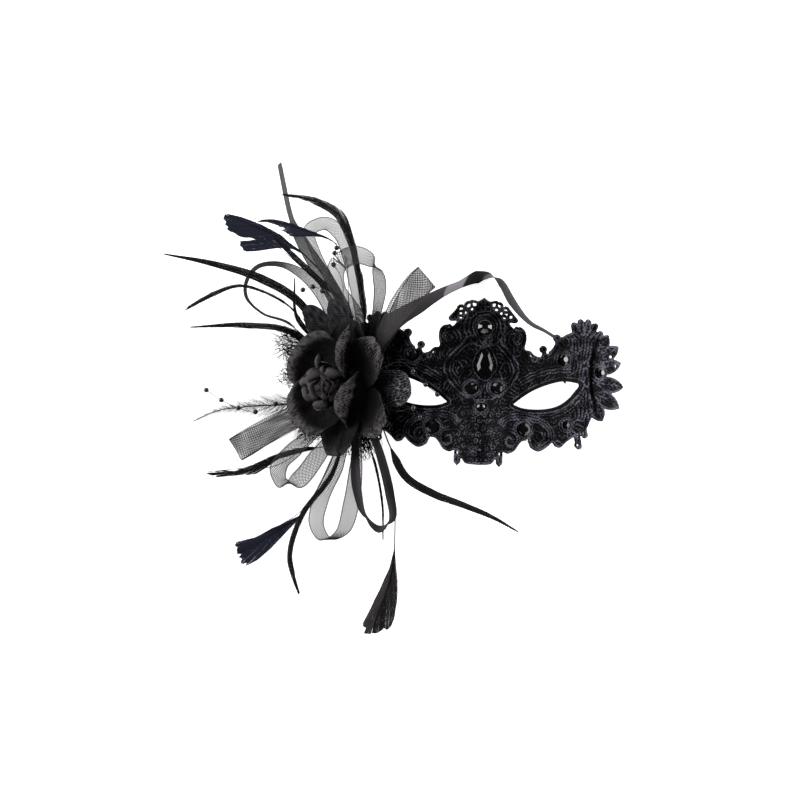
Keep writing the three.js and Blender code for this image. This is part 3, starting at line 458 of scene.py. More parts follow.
# The right half's outline from the crown's tip down to the chin, and the eye hole.
maskEdge = [
    (0, 60.9), (3.6, 58.8), (7.5, 59.4), (10.6, 57), (12.2, 55.6), (15.2, 54.7), (17.9, 51.8), (20.8, 48),
    (19.5, 46.4), (15.9, 46.3), (18.2, 43.4), (22.1, 44.2), (25.2, 42.1), (26.2, 37.2), (25.5, 31.2),
    (28.7, 30.3), (31.2, 28), (34.8, 27.1), (36.1, 30.2), (36.4, 32.1), (39.1, 30.3), (42.5, 33.4),
    (44.4, 39), (47.2, 39.5), (50.1, 41.2), (52.6, 42.3), (54.6, 43.6), (58, 44.6), (62, 44.8), (66, 43),
    (69, 40), (71.8, 37), (73.8, 32), (74.8, 25), (75, 15), (73, 4), (70, -3), (66.6, -9.9), (64.8, -14.5),
    (62.6, -18.6), (59.6, -18.8), (56.6, -20.2), (52.2, -23.4), (48.9, -26.6), (45.4, -25.9), (43.8, -23.9),
    (41.9, -25.8), (36, -29.4), (31, -27.3), (28.8, -23.4), (25.9, -23.6), (23.6, -26.1), (21.1, -29.7),
    (17.2, -31.3), (14.1, -30.5), (12.5, -39.5), (10.3, -34.6), (7.5, -37.7), (1.5, -38.4), (0, -38.5),
]
eyeEdge = [
    (19.6, -1.9), (25.4, 2.8), (31.8, 7), (39.5, 10.4), (48.4, 12.9), (55, 12.7), (59.3, 11.4), (57, 7.7),
    (54.6, 4.6), (50.1, 0.5), (44.8, -2.4), (35.9, -4.2), (25.1, -3.8),
]


# A smooth line through flat points, at most `step` millimetres between its own points.
def flatLine(points, step=0.5, isClosed=False):
    points = np.asarray(points, float)
    if isClosed:
        points = np.concatenate([points, points[:1]])
    route = np.column_stack([points, np.zeros(len(points))])
    rough = np.sum(np.linalg.norm(np.diff(points, axis=0), axis=1))
    return splinePoints(route, np.linspace(0, 1, max(int(rough / step), 2)))[:, :2]


# Distance from each grid spot to a line of short pieces, and the way along the line to the nearest
# spot: min over pieces of |p - a - h (b - a)|, with h = clamp((p - a).(b - a) / |b - a|^2, 0, 1).
def lineDistance(x, y, line):
    best = np.full(x.shape, 1e9)
    along = np.zeros(x.shape)
    run = 0.0
    for (ax, ay), (bx, by) in zip(line[:-1], line[1:]):
        dx, dy = bx - ax, by - ay
        size = max(math.hypot(dx, dy), 1e-9)
        h = clamp(((x - ax) * dx + (y - ay) * dy) / size ** 2)
        distance = (x - ax - h * dx) ** 2 + (y - ay - h * dy) ** 2
        isNearer = distance < best
        best[isNearer] = distance[isNearer]
        along[isNearer] = run + h[isNearer] * size
        run += size
    return np.sqrt(best), along


# A spot is inside when a ray from it crosses the closed line an odd number of times.
def isInside(x, y, line):
    crossings = np.zeros(x.shape, bool)
    for (ax, ay), (bx, by) in zip(line, np.roll(line, -1, axis=0)):
        if ay != by:
            spans = (ay > y) != (by > y)
            crossings ^= spans & (x < (bx - ax) * (y - ay) / (by - ay) + ax)
    return crossings


# A circle, an arc, or a spiral whose radius ends at `end`: (x + r cos a, y + r sin a).
def circleLine(x, y, radius, start=0, sweep=360, end=None):
    count = max(int(radius * 2 * math.pi * abs(sweep) / 360 / 0.4), 8)
    angle = np.radians(start + sweep * np.linspace(0, 1, count))
    radii = np.linspace(radius, end or radius, count)
    return np.column_stack([x + radii * np.cos(angle), y + radii * np.sin(angle)])


# The beads of a twisted thread along a cord: 1 - 0.28 sin^2 of the way along.
def twist(along):
    return 1 - 0.28 * np.sin(math.pi * along / lace["twist"]) ** 2


# Raises the relief by round cords: height = top * sqrt(1 - (d / radius)^2), the higher one kept,
# and clears the ground for a little way beside each cord.
def raiseCord(grid, line, radius, top):
    reach = radius + lace["moat"]
    x, y = grid["x"], grid["y"]
    low, high = line.min(0) - reach, line.max(0) + reach
    spot = (slice(*np.searchsorted(y[:, 0], [low[1], high[1]])),
            slice(*np.searchsorted(x[0], [low[0], high[0]])))
    distance, along = lineDistance(x[spot] + grid["wobbleX"][spot], y[spot] + grid["wobbleY"][spot], line)
    cord = top * twist(along) * hump(distance, radius * lace["swell"])
    grid["rise"][spot] *= np.where(distance < reach, lace["ground"], 1)
    grid["cord"][spot] = np.maximum(grid["cord"][spot], cord)


# Holes as x, y and radius: those of the crown, then those that both sides have.
crownHoles = [
    (6.2, 56.7, 1), (9.3, 56.5, 1), (7.6, 54, 0.8), (13.3, 54, 1), (13.4, 51.6, 0.9), (10.6, 51.8, 0.7),
    (12.5, 49.4, 0.7), (16.3, 49.9, 0.8), (-9.2, 56.1, 1.2), (-5.6, 56.8, 1.1), (-13.6, 54.1, 1.1),
    (-13.2, 51.1, 1), (-7, 53.8, 0.7), (-10.8, 51.5, 0.7), (-13.4, 48.7, 0.7), (-0.5, 58.2, 0.5),
    (20.2, 43, 0.4), (22, 43.1, 0.4), (-20.2, 43, 0.4),
]
sideHoles = [
    (77.1, 29, 0.8), (80.4, 23.5, 0.6), (39.1, 30, 0.8), (31.1, 25.3, 0.45), (29.2, 27.6, 0.5),
    (59.9, -19.6, 0.8), (59.4, -24.6, 0.55), (12.6, -31.6, 0.8), (28.9, -22.8, 0.5),
]
gemSpots = {
    "gem_top": (1, 43.3, 4.2), "gem_pair_left": (-5.4, 6.6, 3.4), "gem_pair_right": (9.2, 7.4, 3.4),
    "gem_nose": (0.4, -4.4, 2.4), "gem_cheek_left": (-27.6, -17, 3.8), "gem_cheek_right": (26.4, -16.4, 3.8),
    "gem_brow_left": (-41, 25.2, 3.2), "gem_brow_right": (48.6, 26, 3.4), "gem_side_right": (70.6, 19.2, 3),
    "gem_lower_right": (52, -12.9, 2.2),
}
# Leaves: foot, direction in degrees, length, width. Stitched fingers: foot, direction, length.
templeLeaves = [
    (67, 28, 60, 16.4, 9), (68, 25, 37, 17.4, 9), (68, 20, 20, 16.8, 9), (67, 13, -6, 19, 10),
    (66, 8, -29, 20.4, 10), (65, 3, -54, 16, 9),
]
fingers = [
    (60, 38, 124, 12.4), (60.6, 38.6, 104, 12.8), (61.4, 38.8, 84, 12.6), (62.4, 38.4, 62, 12.2),
    (64, 37.4, 42, 11),
]
# Fingers on the edge, from tip to foot, and berries on it as x, y and radius.
fingerTips = [
    (54.6, 46.9, 56, 40), (58.5, 48.9, 59, 41), (63.1, 49.1, 62, 41), (66.9, 46.8, 64, 40),
    (70.2, 42.4, 66, 37), (60.2, -25.4, 58.4, -17), (12.4, -36.6, 12.2, -29), (63.6, -18.6, 62.4, -14),
]
berries = [(36.3, 31.6, 2.3), (44.4, 38.6, 2.4)]


# Distance to a disc's edge, negative inside.
def discDistance(x, y, middleX, middleY, radius):
    return np.hypot(x - middleX, y - middleY) - radius


# A leaf is the overlap of two discs through foot and tip, of radius (l^2 / 4 + w^2) / (2 w) for length l
# and half width w.
def leafDistance(x, y, footX, footY, direction, length, width):
    aim = math.radians(direction)
    half = width * 0.5
    radius = (length ** 2 / 4 + half ** 2) / (2 * half)
    out = (x - footX) * math.cos(aim) + (y - footY) * math.sin(aim) - length / 2
    aside = np.abs(-(x - footX) * math.sin(aim) + (y - footY) * math.cos(aim))
    return np.hypot(out, aside + radius - half) - radius


# Spots laid out from a foot: foot + away * length * out + aside * width * off.
def spread(x, y, direction, length, width, spots):
    aim = math.radians(direction)
    away, aside = np.array([math.cos(aim), math.sin(aim)]), np.array([-math.sin(aim), math.cos(aim)])
    return flatLine([np.array([x, y]) + away * length * out + aside * width * off for out, off in spots])


# Cords on both halves, as radius, height and points.
sideCords = [
    (0.75, 1, [(0, 33.4), (3.6, 37.5), (7.2, 37.9), (13, 32.1), (17.8, 26.8), (20.7, 22.8), (21.8, 18.2),
               (20.6, 14), (16, 7.6), (10, 2.6), (0, -1.6)]),
    (0.5, 0.7, [(0, 30), (5, 33.6), (9.4, 32), (14.6, 26.4), (18, 21.6), (18.8, 17.6), (17, 12.6),
                (12, 7.4)]),
    (0.45, 0.8, [(15.6, 22.6), (17, 17), (13, 12.8), (10.6, 17.4), (13, 22), (15.6, 22.6)]),
    (0.4, 0.6, [(13.4, 18.8), (14.6, 16.6), (13, 15)]),
]
# Cords in rows beside a line on both halves, as radius, height, the rows' distances and the line's points.
rowCords = [
    (0.6, 0.95, (0, 1.6, 3.2), [(11, -13.4), (14.4, -9.4), (22.2, -7.4), (32, -8.4), (39.6, -11.6),
                                (44.4, -17.5), (43.8, -24), (39, -28), (33.9, -28.6), (31, -25.4)]),
    (0.6, 0.9, (0,), [(33.4, -17), (37, -18.4), (38.4, -22), (35.6, -24.4), (33, -22.4)]),
    (0.55, 0.8, (-0.4, -2.2, -4), [(24, 9.4), (33, 14.4), (43, 17.6), (53, 18.2)]),
    (0.5, 0.7, (-1.2, 0.8), [(22, -8.2), (34, -9.4), (46, -7.2), (55, -1.4), (60, 4.6)]),
]
# Rings and spirals on both halves, as cord radius and height, then what circleLine asks for.
scrolls = [
    (0.5, 0.85, 19.3, 36.8, 6.6, 200, -420, 1.2), (0.5, 0.85, 19.3, 36.8, 4.8, 250, -420, 1),
    (0.55, 0.95, 18.3, -23.3, 6.8, 100, -430, 1), (0.55, 0.95, 18.3, -23.3, 5.2, 100, -430, 0.8),
    (0.6, 0.95, 36.3, 31.4, 1.7), (0.6, 0.95, 44.4, 38.2, 1.7), (0.6, 0.95, 46.8, -24.4, 1.8),
    (0.6, 0.95, 49.4, 36.6, 2.2), (0.6, 0.95, 43.4, 33.2, 2),
]
# The seam where the temple leaves begin, pressed into the relief.
groove = [(68.7, 38.5), (66.4, 29.1), (65.6, 19.4), (66.4, 8), (67.4, 3.9), (68.9, -3.8)]


# All cords as line, radius and height, in the mask's own flat layout.
def laceCords():
    cords = []

    def both(line, radius, top):
        cords.extend((line * sign, radius, top) for sign in ([1, 1], [-1, 1]))

    for radius, top, points in sideCords:
        both(flatLine(points), radius, top)
    for radius, top, gaps, points in rowCords:
        line = flatLine(points, 0.8)
        aside = np.gradient(line, axis=0)
        aside = np.column_stack([aside[:, 1], -aside[:, 0]]) / np.linalg.norm(aside, axis=1)[:, None]
        for gap in gaps:
            both(line + aside * gap, radius, top)
    for radius, top, *circle in scrolls:
        both(circleLine(*circle), radius, top)
    # rings and spokes round the top gem, rings round the other gems and holes
    for radius, thick, top in ((7, 0.7, 1), (9.2, 0.5, 0.7), (12, 0.6, 0.8)):
        cords.append((circleLine(1, 43.6, radius), thick, top))
    for spoke in range(15):
        angle = math.radians(-20 + spoke * 220 / 14)
        away = np.array([math.cos(angle), math.sin(angle)])
        cords.append((np.array([[1, 43.6] + away * 9.4, [1, 43.6] + away * 11.6]), 0.45, 0.7))
    for x, y, radius in gemSpots.values():
        cords.append((circleLine(x, y, radius + 0.9), 0.7, 0.9))
        cords.append((circleLine(x, y, radius + 2.3), 0.45, 0.6))
    for x, y, radius in crownHoles:
        cords.append((circleLine(x, y, radius + 0.75), 0.55, 0.8))
    drop = flatLine([(1.8, 34), (7.4, 26), (8.2, 18), (1.8, 11.4), (-4.6, 18), (-3.8, 26)], isClosed=True)
    cords.append((drop, 0.6, 0.8))
    for x, y in ((10.2, 38.6), (13.6, 41.6), (-8.4, 37.4), (-12.6, 40.8), (6.4, 35.2), (-5, 35)):
        loop = [(x - 1.2, y - 2.4), (x - 1.5, y), (x, y + 2.8), (x + 1.5, y), (x + 1.2, y - 2.4)]
        cords.append((flatLine(loop), 0.42, 0.7))
    # petals round the lower gem
    for direction in (-96, -74, -52, -30, -8, 14):
        aim = math.radians(direction)
        foot = np.array([52, -12.9]) + np.array([math.cos(aim), math.sin(aim)]) * 3
        both(spread(*foot, direction, 1, 1, [(0, 0), (4, 1.6), (8, 0)]), 0.55, 0.85)
    # a vein, two sides and short side veins in each leaf
    for leaf in templeLeaves:
        both(spread(*leaf, [(0.1, 0), (0.5, 0.04), (0.9, 0)]), 0.4, 0.9)
        for off in (1, -1):
            side = [(0.12, 0.1 * off), (0.4, 0.34 * off), (0.7, 0.3 * off), (0.93, 0)]
            both(spread(*leaf, side), 0.65, 1)
            for out in (0.3, 0.46, 0.62, 0.76):
                both(spread(*leaf, [(out, 0.03 * off), (out + 0.1, 0.24 * off)]), 0.35, 0.6)
    hairpin = [(0.2, 1.2), (0.6, 1.5), (0.88, 0.9), (0.96, 0), (0.88, -0.9), (0.6, -1.5), (0.2, -1.2)]
    for finger in fingers:
        both(spread(*finger, 1, hairpin), 0.6, 1)
    # small curls over the nose piece
    rng = np.random.default_rng(11)
    for row, y in enumerate(np.arange(-36, -8, 3.9)):
        for x in np.arange(-11.7 + 1.9 * (row % 2), 12, 3.9):
            spot = np.array([x, y]) + rng.uniform(-0.6, 0.6, 2)
            curl = circleLine(*spot, 1.7, rng.uniform(0, 360), rng.choice([-1, 1]) * 400, 0.35)
            cords.append((curl, 0.36, rng.uniform(0.6, 0.9)))
    return cords


# Distances to the edge and to the eye hole, negative inside them, each with the way along its line.
# The smaller distance joins fingers, leaves and picots on, and the larger one cuts holes.
def maskDistances(x, y):
    mirror = np.abs(x)
    right = flatLine(maskEdge)
    inside = isInside(mirror, y, np.concatenate([right, [[-1, -38.5], [-1, 60.9]]]))
    distance, along = lineDistance(mirror, y, right)
    edge = np.where(inside, -1, 1) * distance
    eye = flatLine(eyeEdge, isClosed=True)
    distance, eyeAlong = lineDistance(mirror, y, eye)
    fromEye = np.where(isInside(mirror, y, eye[:-1]), -1, 1) * distance
    for berry in berries:
        edge = np.minimum(edge, discDistance(mirror, y, *berry))
    for finger in fingerTips:
        distance, _ = lineDistance(mirror, y, np.reshape(finger, (2, 2)).astype(float))
        edge = np.minimum(edge, distance - lace["finger"])
    for leaf in templeLeaves:
        edge = np.minimum(edge, leafDistance(mirror, y, *leaf))
    edge = np.maximum(edge, -fromEye)
    for hole in crownHoles:
        edge = np.minimum(edge, discDistance(x, y, *hole) - lace["picot"])
    for across, holes in ((x, crownHoles), (mirror, sideHoles)):
        for hole in holes:
            edge = np.maximum(edge, -discDistance(across, y, *hole))
    return edge, along, fromEye, eyeAlong


# Ground stitches: worm-like ridges where a band of noise crosses zero, drawn upright on the temples.
def groundStitches(x, y, share):
    worms = sineNoise(x, y, 4.4, 3, 40) * (1 - share) + sineNoise(x, y * 0.42, 3.6, 4, 40) * share
    slope = np.hypot(*np.gradient(worms, lace["cell"])) + 0.2
    ridge = hump(np.abs(worms) / slope, 0.5 + 0.42 * share)
    return (0.5 + 0.2 * share) * (ridge * (0.8 + 0.25 * sineNoise(x, y, 1.6, 5, 20)))


# The relief, about 0 to 1: ground and cords, two cords round the eye, and one along the edge.
def laceRelief(x, y, share, edge, along, fromEye, eyeAlong):
    mirror = np.abs(x)
    grid = {"x": x, "y": y, "rise": groundStitches(x, y, share), "cord": np.zeros(x.shape)}
    for key, seed in (("wobbleX", 31), ("wobbleY", 32)):
        grid[key] = 0.18 * sineNoise(x, y, 5, seed, 20) + 0.08 * sineNoise(x, y, 1.8, seed + 2, 20)
    for leaf in templeLeaves:
        pad = clamp(-leafDistance(mirror, y, *leaf) / 1.2)
        grid["rise"] = np.maximum(grid["rise"], pad * (0.4 + 0.22 * sineNoise(x, y, 1.7, 8, 20)))
    for cord in laceCords():
        raiseCord(grid, *cord)
    rise = np.maximum(grid["rise"], grid["cord"])
    rise = np.where(fromEye < 3.6, rise * clamp(fromEye - 2.6), rise)
    for middle, radius, top in lace["eyeCords"]:
        rise = np.maximum(rise, top * hump(fromEye, radius, middle) * twist(eyeAlong))
    rise = np.where(edge > -1.9, rise * 0.3, rise)
    middle, radius, top = lace["edgeCord"]
    rise = np.maximum(rise, np.where(fromEye < 1.8, 0, top * hump(-edge, radius, middle) * twist(along)))
    for sign in (1, -1):
        near, _ = lineDistance(x, y, flatLine(groove) * [sign, 1])
        rise = np.where(near < 1.2, rise * near / 1.2 - 0.8 * (1 - near / 1.2), rise)
    return rise


# Rayon thread embroidered on net, violet-grey over a near black ground. The shine on the raised cords is
# painted into the colour, so the ground between them is painted shade. Fibres about half a millimetre apart
# break it up.
def laceMaterial():
    material = makeMaterial("Embroidered rayon thread, black", 0.6, 0.06)
    tree = material.node_tree
    # The rise value holds the painted shine, not the relief's height.
    rise = addNode(tree, "Attribute", attribute_name="rise").outputs["Fac"]
    mixColours(tree, rise, "#000001", "#66626e", 0.08)
    addBump(tree, grainNoise(tree, 1800, 2), 0.25, 0.6)
    return material


def addMask():
    cell = lace["cell"]
    x, y = np.meshgrid(np.arange(-87.12, 87.2, cell), np.arange(-42, 63, cell))
    mirror = np.abs(x)
    share = clamp((mirror - 46) / 10) ** 2        # 0 on the middle, 1 on the temples
    distances = maskDistances(x, y)
    edge = distances[0]
    print("mask outline done")
    rise = laceRelief(x, y, share, *distances)
    upper = clamp((mirror - 66.4) / 0.8) * clamp((y + 8) / 4)
    thread = 0.09 * sineNoise(x, y, 0.85, 9, 20) * clamp(-edge / 1.2)
    lift = lace["relief"] * rise + thread + lace["temple"] * upper
    # Painted shine: only the crests are painted light, in stitches of about a millimetre. The temples are
    # painted a little lighter and the crown darker, as painted light and shade.
    paintedShine = clamp(1.7 * rise) ** 1.3 * np.clip(0.75 + 0.36 * sineNoise(x, y, 1.5, 6, 30), 0.2, 1.2)
    paintedShine *= np.clip(0.75 + 0.35 * sineNoise(x, y, 9, 7, 20), 0.3, 1.2) * (0.85 + 0.12 * share)
    paintedShine *= 1 - 0.5 * clamp((y - 5) / 30) * (1 - share)

    # Spots outside within one cell are pulled onto the outline, and faces with any farther spot are left out.
    dy, dx = np.gradient(edge, cell)
    steep = np.maximum(np.hypot(dx, dy), 0.8)
    pulled = edge > -0.2 * cell
    px = np.where(pulled, x - edge * dx / steep ** 2, x)
    py = np.where(pulled, y - edge * dy / steep ** 2, y)
    faces = gridFaces(*x.shape)
    faces = faces[(edge < cell * 0.95).ravel()[faces].all(axis=1)]
    # The shell is two halves that meet on the middle line, which keeps each one light enough.
    isLeft = x.ravel()[faces].mean(axis=1) < 0
    for side, half in (("Left", faces[isLeft]), ("Right", faces[~isLeft])):
        used = np.unique(half)
        numbers = np.full(x.size, -1)
        numbers[used] = np.arange(len(used))
        points, _ = frontPoints(px.ravel()[used], py.ravel()[used], lift.ravel()[used])
        piece = makePiece("laceMask" + side, fromMask(points), numbers[half], laceThread, "lace",
                          ["lace_mask"], {"rise": paintedShine.ravel()[used]})
        thicken(piece, lace["wall"], -1)
        print("mask", side.lower(), len(half), "faces")


laceThread = laceMaterial()
addMask()

# Faceted gems

# Moulded acrylic: clear hard facets over black, smooth but for a little haze. The drop is duller.
cutGlass = makeMaterial("Moulded acrylic gem, black", 0.06, 0.7, "#050506")
dullGlass = makeMaterial("Moulded acrylic drop, black", 0.12, 0.4, "#030304")


# A cut stone as rings of its outline: a foot, a thick girdle and a flat table of its own scale and
# height. Crown facets slope about 35 degrees and face straight left and right.
def gemRings(outline, height, table=(0.46, 1)):
    rings = [np.column_stack([np.array(outline) * scale, np.full(len(outline), z * height)])
             for scale, z in ((0.86, 0), (0.99, 0.3), (1, 0.56), (0.94, 0.62), table)]
    return np.concatenate(rings)


# The hull of some spots, its flat triangles joined to facets.
def hullFaces(points):
    work = bmesh.new()
    for point in points:
        work.verts.new(point)
    bmesh.ops.convex_hull(work, input=work.verts)
    bmesh.ops.dissolve_limit(work, angle_limit=math.radians(2), verts=work.verts, edges=work.edges)
    work.verts.index_update()
    spots = np.array([vertex.co for vertex in work.verts])
    faces = {}
    for face in work.faces:
        faces.setdefault(len(face.verts), []).append([vertex.index for vertex in face.verts])
    work.free()
    return spots, [np.array(group) for group in faces.values()]


# Spots set on the shell at (x, y): their z runs along its normal there.
def onMask(points, x, y, lift):
    foot, normal = frontPoints(np.array([x]), np.array([y]), np.array([lift]))
    z = normal[0]
    side = unit(np.cross([0, 1, 0], z))
    return fromMask(foot[0] + points[:, :1] * side + points[:, 1:2] * np.cross(z, side) + points[:, 2:] * z)


def addGem(node, rings, x, y, lift, glass):
    points, faces = hullFaces(rings)
    makePiece("cut_" + node, onMask(points, x, y, lift), faces, glass, "gem", [node], isSmooth=False)


def addGems():
    angle = 2 * math.pi * (np.arange(10) + 0.5) / 10
    circle = np.column_stack([np.cos(angle), np.sin(angle)])
    for node, (x, y, radius) in gemSpots.items():
        rings = gemRings(radius * circle, radius * 0.85)
        addGem(node, rings, x, y, 1.5 if node == "gem_side_right" else 0.3, cutGlass)
    drop = [(0, 9), (2.3, 6.3), (4.9, -1.5), (4.1, -5.4), (1.8, -8.6), (-1.8, -8.6), (-4.1, -5.4),
            (-4.9, -1.5), (-2.3, 6.3)]
    addGem("gem_teardrop", gemRings(drop, 4.6, (0.62, 0.88)), 1.8, 21.8, 1.2, dullGlass)
    print("gems")


addGems()

# The rose

# Heat-crinkled polyester crepe, a dull warm black. The light on its small creases is painted into the colour:
# the value is 1 on painted lit creases and rims and low in painted shade, and on the figured lace it is the
# lace's pattern. The grain, near a millimetre, keeps the cloth from looking like rubber.
def crepeMaterial(name, low, high, scale, depth):
    material = makeMaterial(name, 0.75, 0.1)
    tree = material.node_tree
    paintedLightAndPattern = addNode(tree, "Attribute", attribute_name="paintedLightAndPattern").outputs["Fac"]
    mixColours(tree, paintedLightAndPattern, low, high)
    addBump(tree, grainNoise(tree, scale, 4), depth, 0.8)
    return material


petalCloth = crepeMaterial("Crinkled polyester crepe, black", "#010101", "#545052", 900, 0.6)
budCloth = crepeMaterial("Rolled satin, dark grey", "#030303", "#464042", 700, 0.2)
figuredCloth = crepeMaterial("Figured lace, charcoal", "#010101", "#7d7980", 1100, 0.4)
netCloth = crepeMaterial("Net over crepe, charcoal", "#010101", "#403e43", 1100, 0.8)


# A value between two: a + (b - a) * t.
def mix(a, b, t):
    return a + (b - a) * t


# How wide a petal is along its length, as a share: sin^0.8.
def petalSwell(v):
    return np.sin(math.pi * (0.05 + 0.62 * v)) ** 0.8


# A petal as a sector of a bowl, as in the part: a Bezier middle line from root to rim, whose rim rolls
# out by `curl`, and sides shorter by corner * |s|^4 (a large corner rounds with the power 2.6). With
# `beside` it is an arch that stands square to the right, its middle that far towards the crown.
def petalPoints(s, v, azimuth, root, rim, bulge=0.75, half=18, tipHalf=0.5, curl=3, ripple=0, corner=0.16,
                beside=None, lean=0):
    t = v * (1 - corner * np.abs(s) ** (4 if corner < 0.2 else 2.6))
    knee = (mix(root[0], rim[0], bulge), mix(root[1], rim[1], 1 - bulge))
    radius, height = ((1 - t) ** 2 * root[k] + 2 * t * (1 - t) * knee[k] + t * t * rim[k] for k in (0, 1))
    roll = curl * np.maximum((v - 0.72) / 0.28, 0) ** 2
    if beside is not None:
        across = beside + half * (0.35 + 0.65 * v ** 0.5) * s
        return (corsageFoot + rightward * (radius + roll + lean * s)[..., None]
                + crownward * across[..., None] + outward * (height - 0.3 * roll)[..., None])
    sideways = half * mix(0.16, 1, petalSwell(v)) * mix(1, tipHalf, v ** 4) * s
    turn = np.degrees(sideways / np.maximum(radius, 12))
    wave = ripple * v * v * np.sin(2.5 * math.pi * s)
    return corsagePoint(radius + roll, azimuth + turn, height - 0.55 * roll + wave)


# Crinkled cloth: the surface moved along its normal by sums of sines in millimetres, with creases that run
# out from the root. The value it also gives is painted light, lighter where the cloth rises.
def crinkled(points, seed, deep, wave, stretch):
    middle = points.shape[1] // 2
    u, w = runLength(points, 0), runLength(points, 1)
    w = w - w[:, middle:middle + 1]
    fine = sineNoise(w, u * stretch, wave, seed, 30)
    coarse = sineNoise(w, u * stretch, wave * 4, seed + 50, 16)
    height = deep * (fine + 2 * coarse)
    return points + gridNormals(points) * height[..., None], clamp(0.48 + 0.42 * fine + 0.24 * coarse)


# `dark` is the share of the length that stays unlit, and `rimLight` how bright the rim is.
petals = {
    "petal_outer_right_up": dict(azimuth=37, root=(9, 14.8), rim=(38.6, 24), half=17, ripple=0.6, dark=0.38),
    "petal_outer_top": dict(azimuth=80, root=(9, 13), rim=(38, 20), half=18, ripple=0.6, dark=0.9,
                            rimLight=0.08),
    "petal_outer_left": dict(azimuth=152, root=(9, 14.8), rim=(37, 24), half=19, ripple=0.6),
    "petal_outer_low_left": dict(azimuth=-142, root=(9, 13), rim=(37, 20), half=18, ripple=0.6),
    "petal_outer_low": dict(azimuth=-92, root=(9, 14.8), rim=(39, 24), half=18, ripple=0.9, dark=0.8,
                            rimLight=0.16),
    "petal_outer_right_low": dict(azimuth=-38, root=(9, 13), rim=(40, 21), half=17, ripple=0.6, dark=0.5),
    "petal_cup_right_up": dict(azimuth=50, root=(6, 18.4), rim=(11.4, 37), bulge=0.8, half=17, curl=1,
                               corner=0.62, beside=20, lean=1.5, dark=0.1),
    "petal_cup_left_up": dict(azimuth=137, root=(7, 16.8), rim=(30.5, 33), bulge=0.9, half=26, curl=4.4,
                              tipHalf=0.8, dark=0.74, rimLight=0.6),
    "petal_cup_left_low": dict(azimuth=-143, root=(7, 18.4), rim=(28.5, 35), bulge=0.9, half=23, curl=4.2,
                               tipHalf=0.75, dark=0.7, rimLight=0.6),
    "petal_cup_right_low": dict(azimuth=-24, root=(6, 16.8), rim=(11.8, 38), bulge=1.05, half=17, curl=1,
                                corner=0.62, beside=-8, lean=4.6, dark=0.1),
    "petal_inner_up": dict(azimuth=78, root=(5, 20.6), rim=(14, 38), bulge=0.95, half=9, curl=0.6,
                           tipHalf=0.3),
    "petal_inner_low": dict(azimuth=-100, root=(5, 20.6), rim=(13.4, 37), bulge=0.95, half=11, curl=0.8),
}
leafPieces = {
    "leaf_net_up_left": dict(azimuth=118.4, root=(11.8, 9.4), rim=(54, 21), half=9.4, tipHalf=1, curl=0.6,
                             corner=0.3, dark=0.3),
    "leaf_net_up": dict(azimuth=94, root=(11.8, 11), rim=(52, 20), half=10.4, tipHalf=1, curl=0.6, corner=0.3,
                        dark=0.3),
    "leaf_speckled_right": dict(azimuth=-2, root=(11.8, 9.4), rim=(50, 8), half=11, tipHalf=1, curl=-2,
                                corner=0.22, dark=0.2),
    "leaf_net_left": dict(azimuth=170, root=(11.8, 9.4), rim=(38.6, 11.4), half=9, tipHalf=0.9, curl=0,
                          dark=0.3),
}


petalCrease = {
    "wall": 0.35,
    "deep": 0.08,
    "petal": (1.5, 0.3),          # wavelength, and how much of it counts outwards from the root
    "net": (1.2, 0.8),
}


def addPetals():
    v, s = twoWays(np.linspace(0, 1, 90), np.linspace(-1, 1, 90))
    for number, (node, shape) in enumerate({**petals, **leafPieces}.items()):
        shape = dict(shape)
        dark, rimLight = shape.pop("dark", 0.48), shape.pop("rimLight", 0.35)
        cloth, slotName = (netCloth, "net") if node in leafPieces else (petalCloth, "petal")
        points, paintedLightAndPattern = crinkled(petalPoints(s, v, **shape), 20 + number, petalCrease["deep"],
                                  *petalCrease[slotName])
        if "speckled" in node:
            cloth = figuredCloth
            squiggle = np.abs(sineNoise(v * 36, s * 22, 5, 77, 30))
            paintedLightAndPattern = np.clip(1.5 - 4 * squiggle, 0, 1.5)
        # Painted shade from the root up to the `dark` share of the length, and a painted highlight along the
        # rim.
        reach = clamp((v - dark) / 0.45) ** 1.5
        rim = clamp((v - 0.8) / 0.12) * rimLight * (0.35 + 0.95 * paintedLightAndPattern)
        piece = makePiece("cloth_" + node, points, gridFaces(*s.shape), cloth, slotName, [node],
                          {"paintedLightAndPattern": clamp(0.03 + paintedLightAndPattern * reach + rim)})
        thicken(piece, petalCrease["wall"])
    print("petals")


addPetals()

# Torn net round the rose: threads run out from a foot line, fanned by 35 degrees each way, and waver.
# Each scrap is its foot from, foot to, reach and number of threads.
netScraps = [
    ((-56, 40, 6), (-56, 24, 5), (-17, 2, 3), 110), ((-57, 20, 5), (-57, 8, 5), (-14, 3, 2), 60),
    ((-50, -6, 6), (-42, -19, 7), (-14, -9, 1), 170), ((-30, -19, 14), (-12, -17, 22), (2, -19, -1), 220),
    ((-17, 36, 26), (-5, 31, 31), (10, 16, 2), 260),
]
# Fine nylon thread, dull, so that the net reads as a dark haze.
tornNet = makeMaterial("Torn nylon net, black", 0.6, 0.2, "#141315")


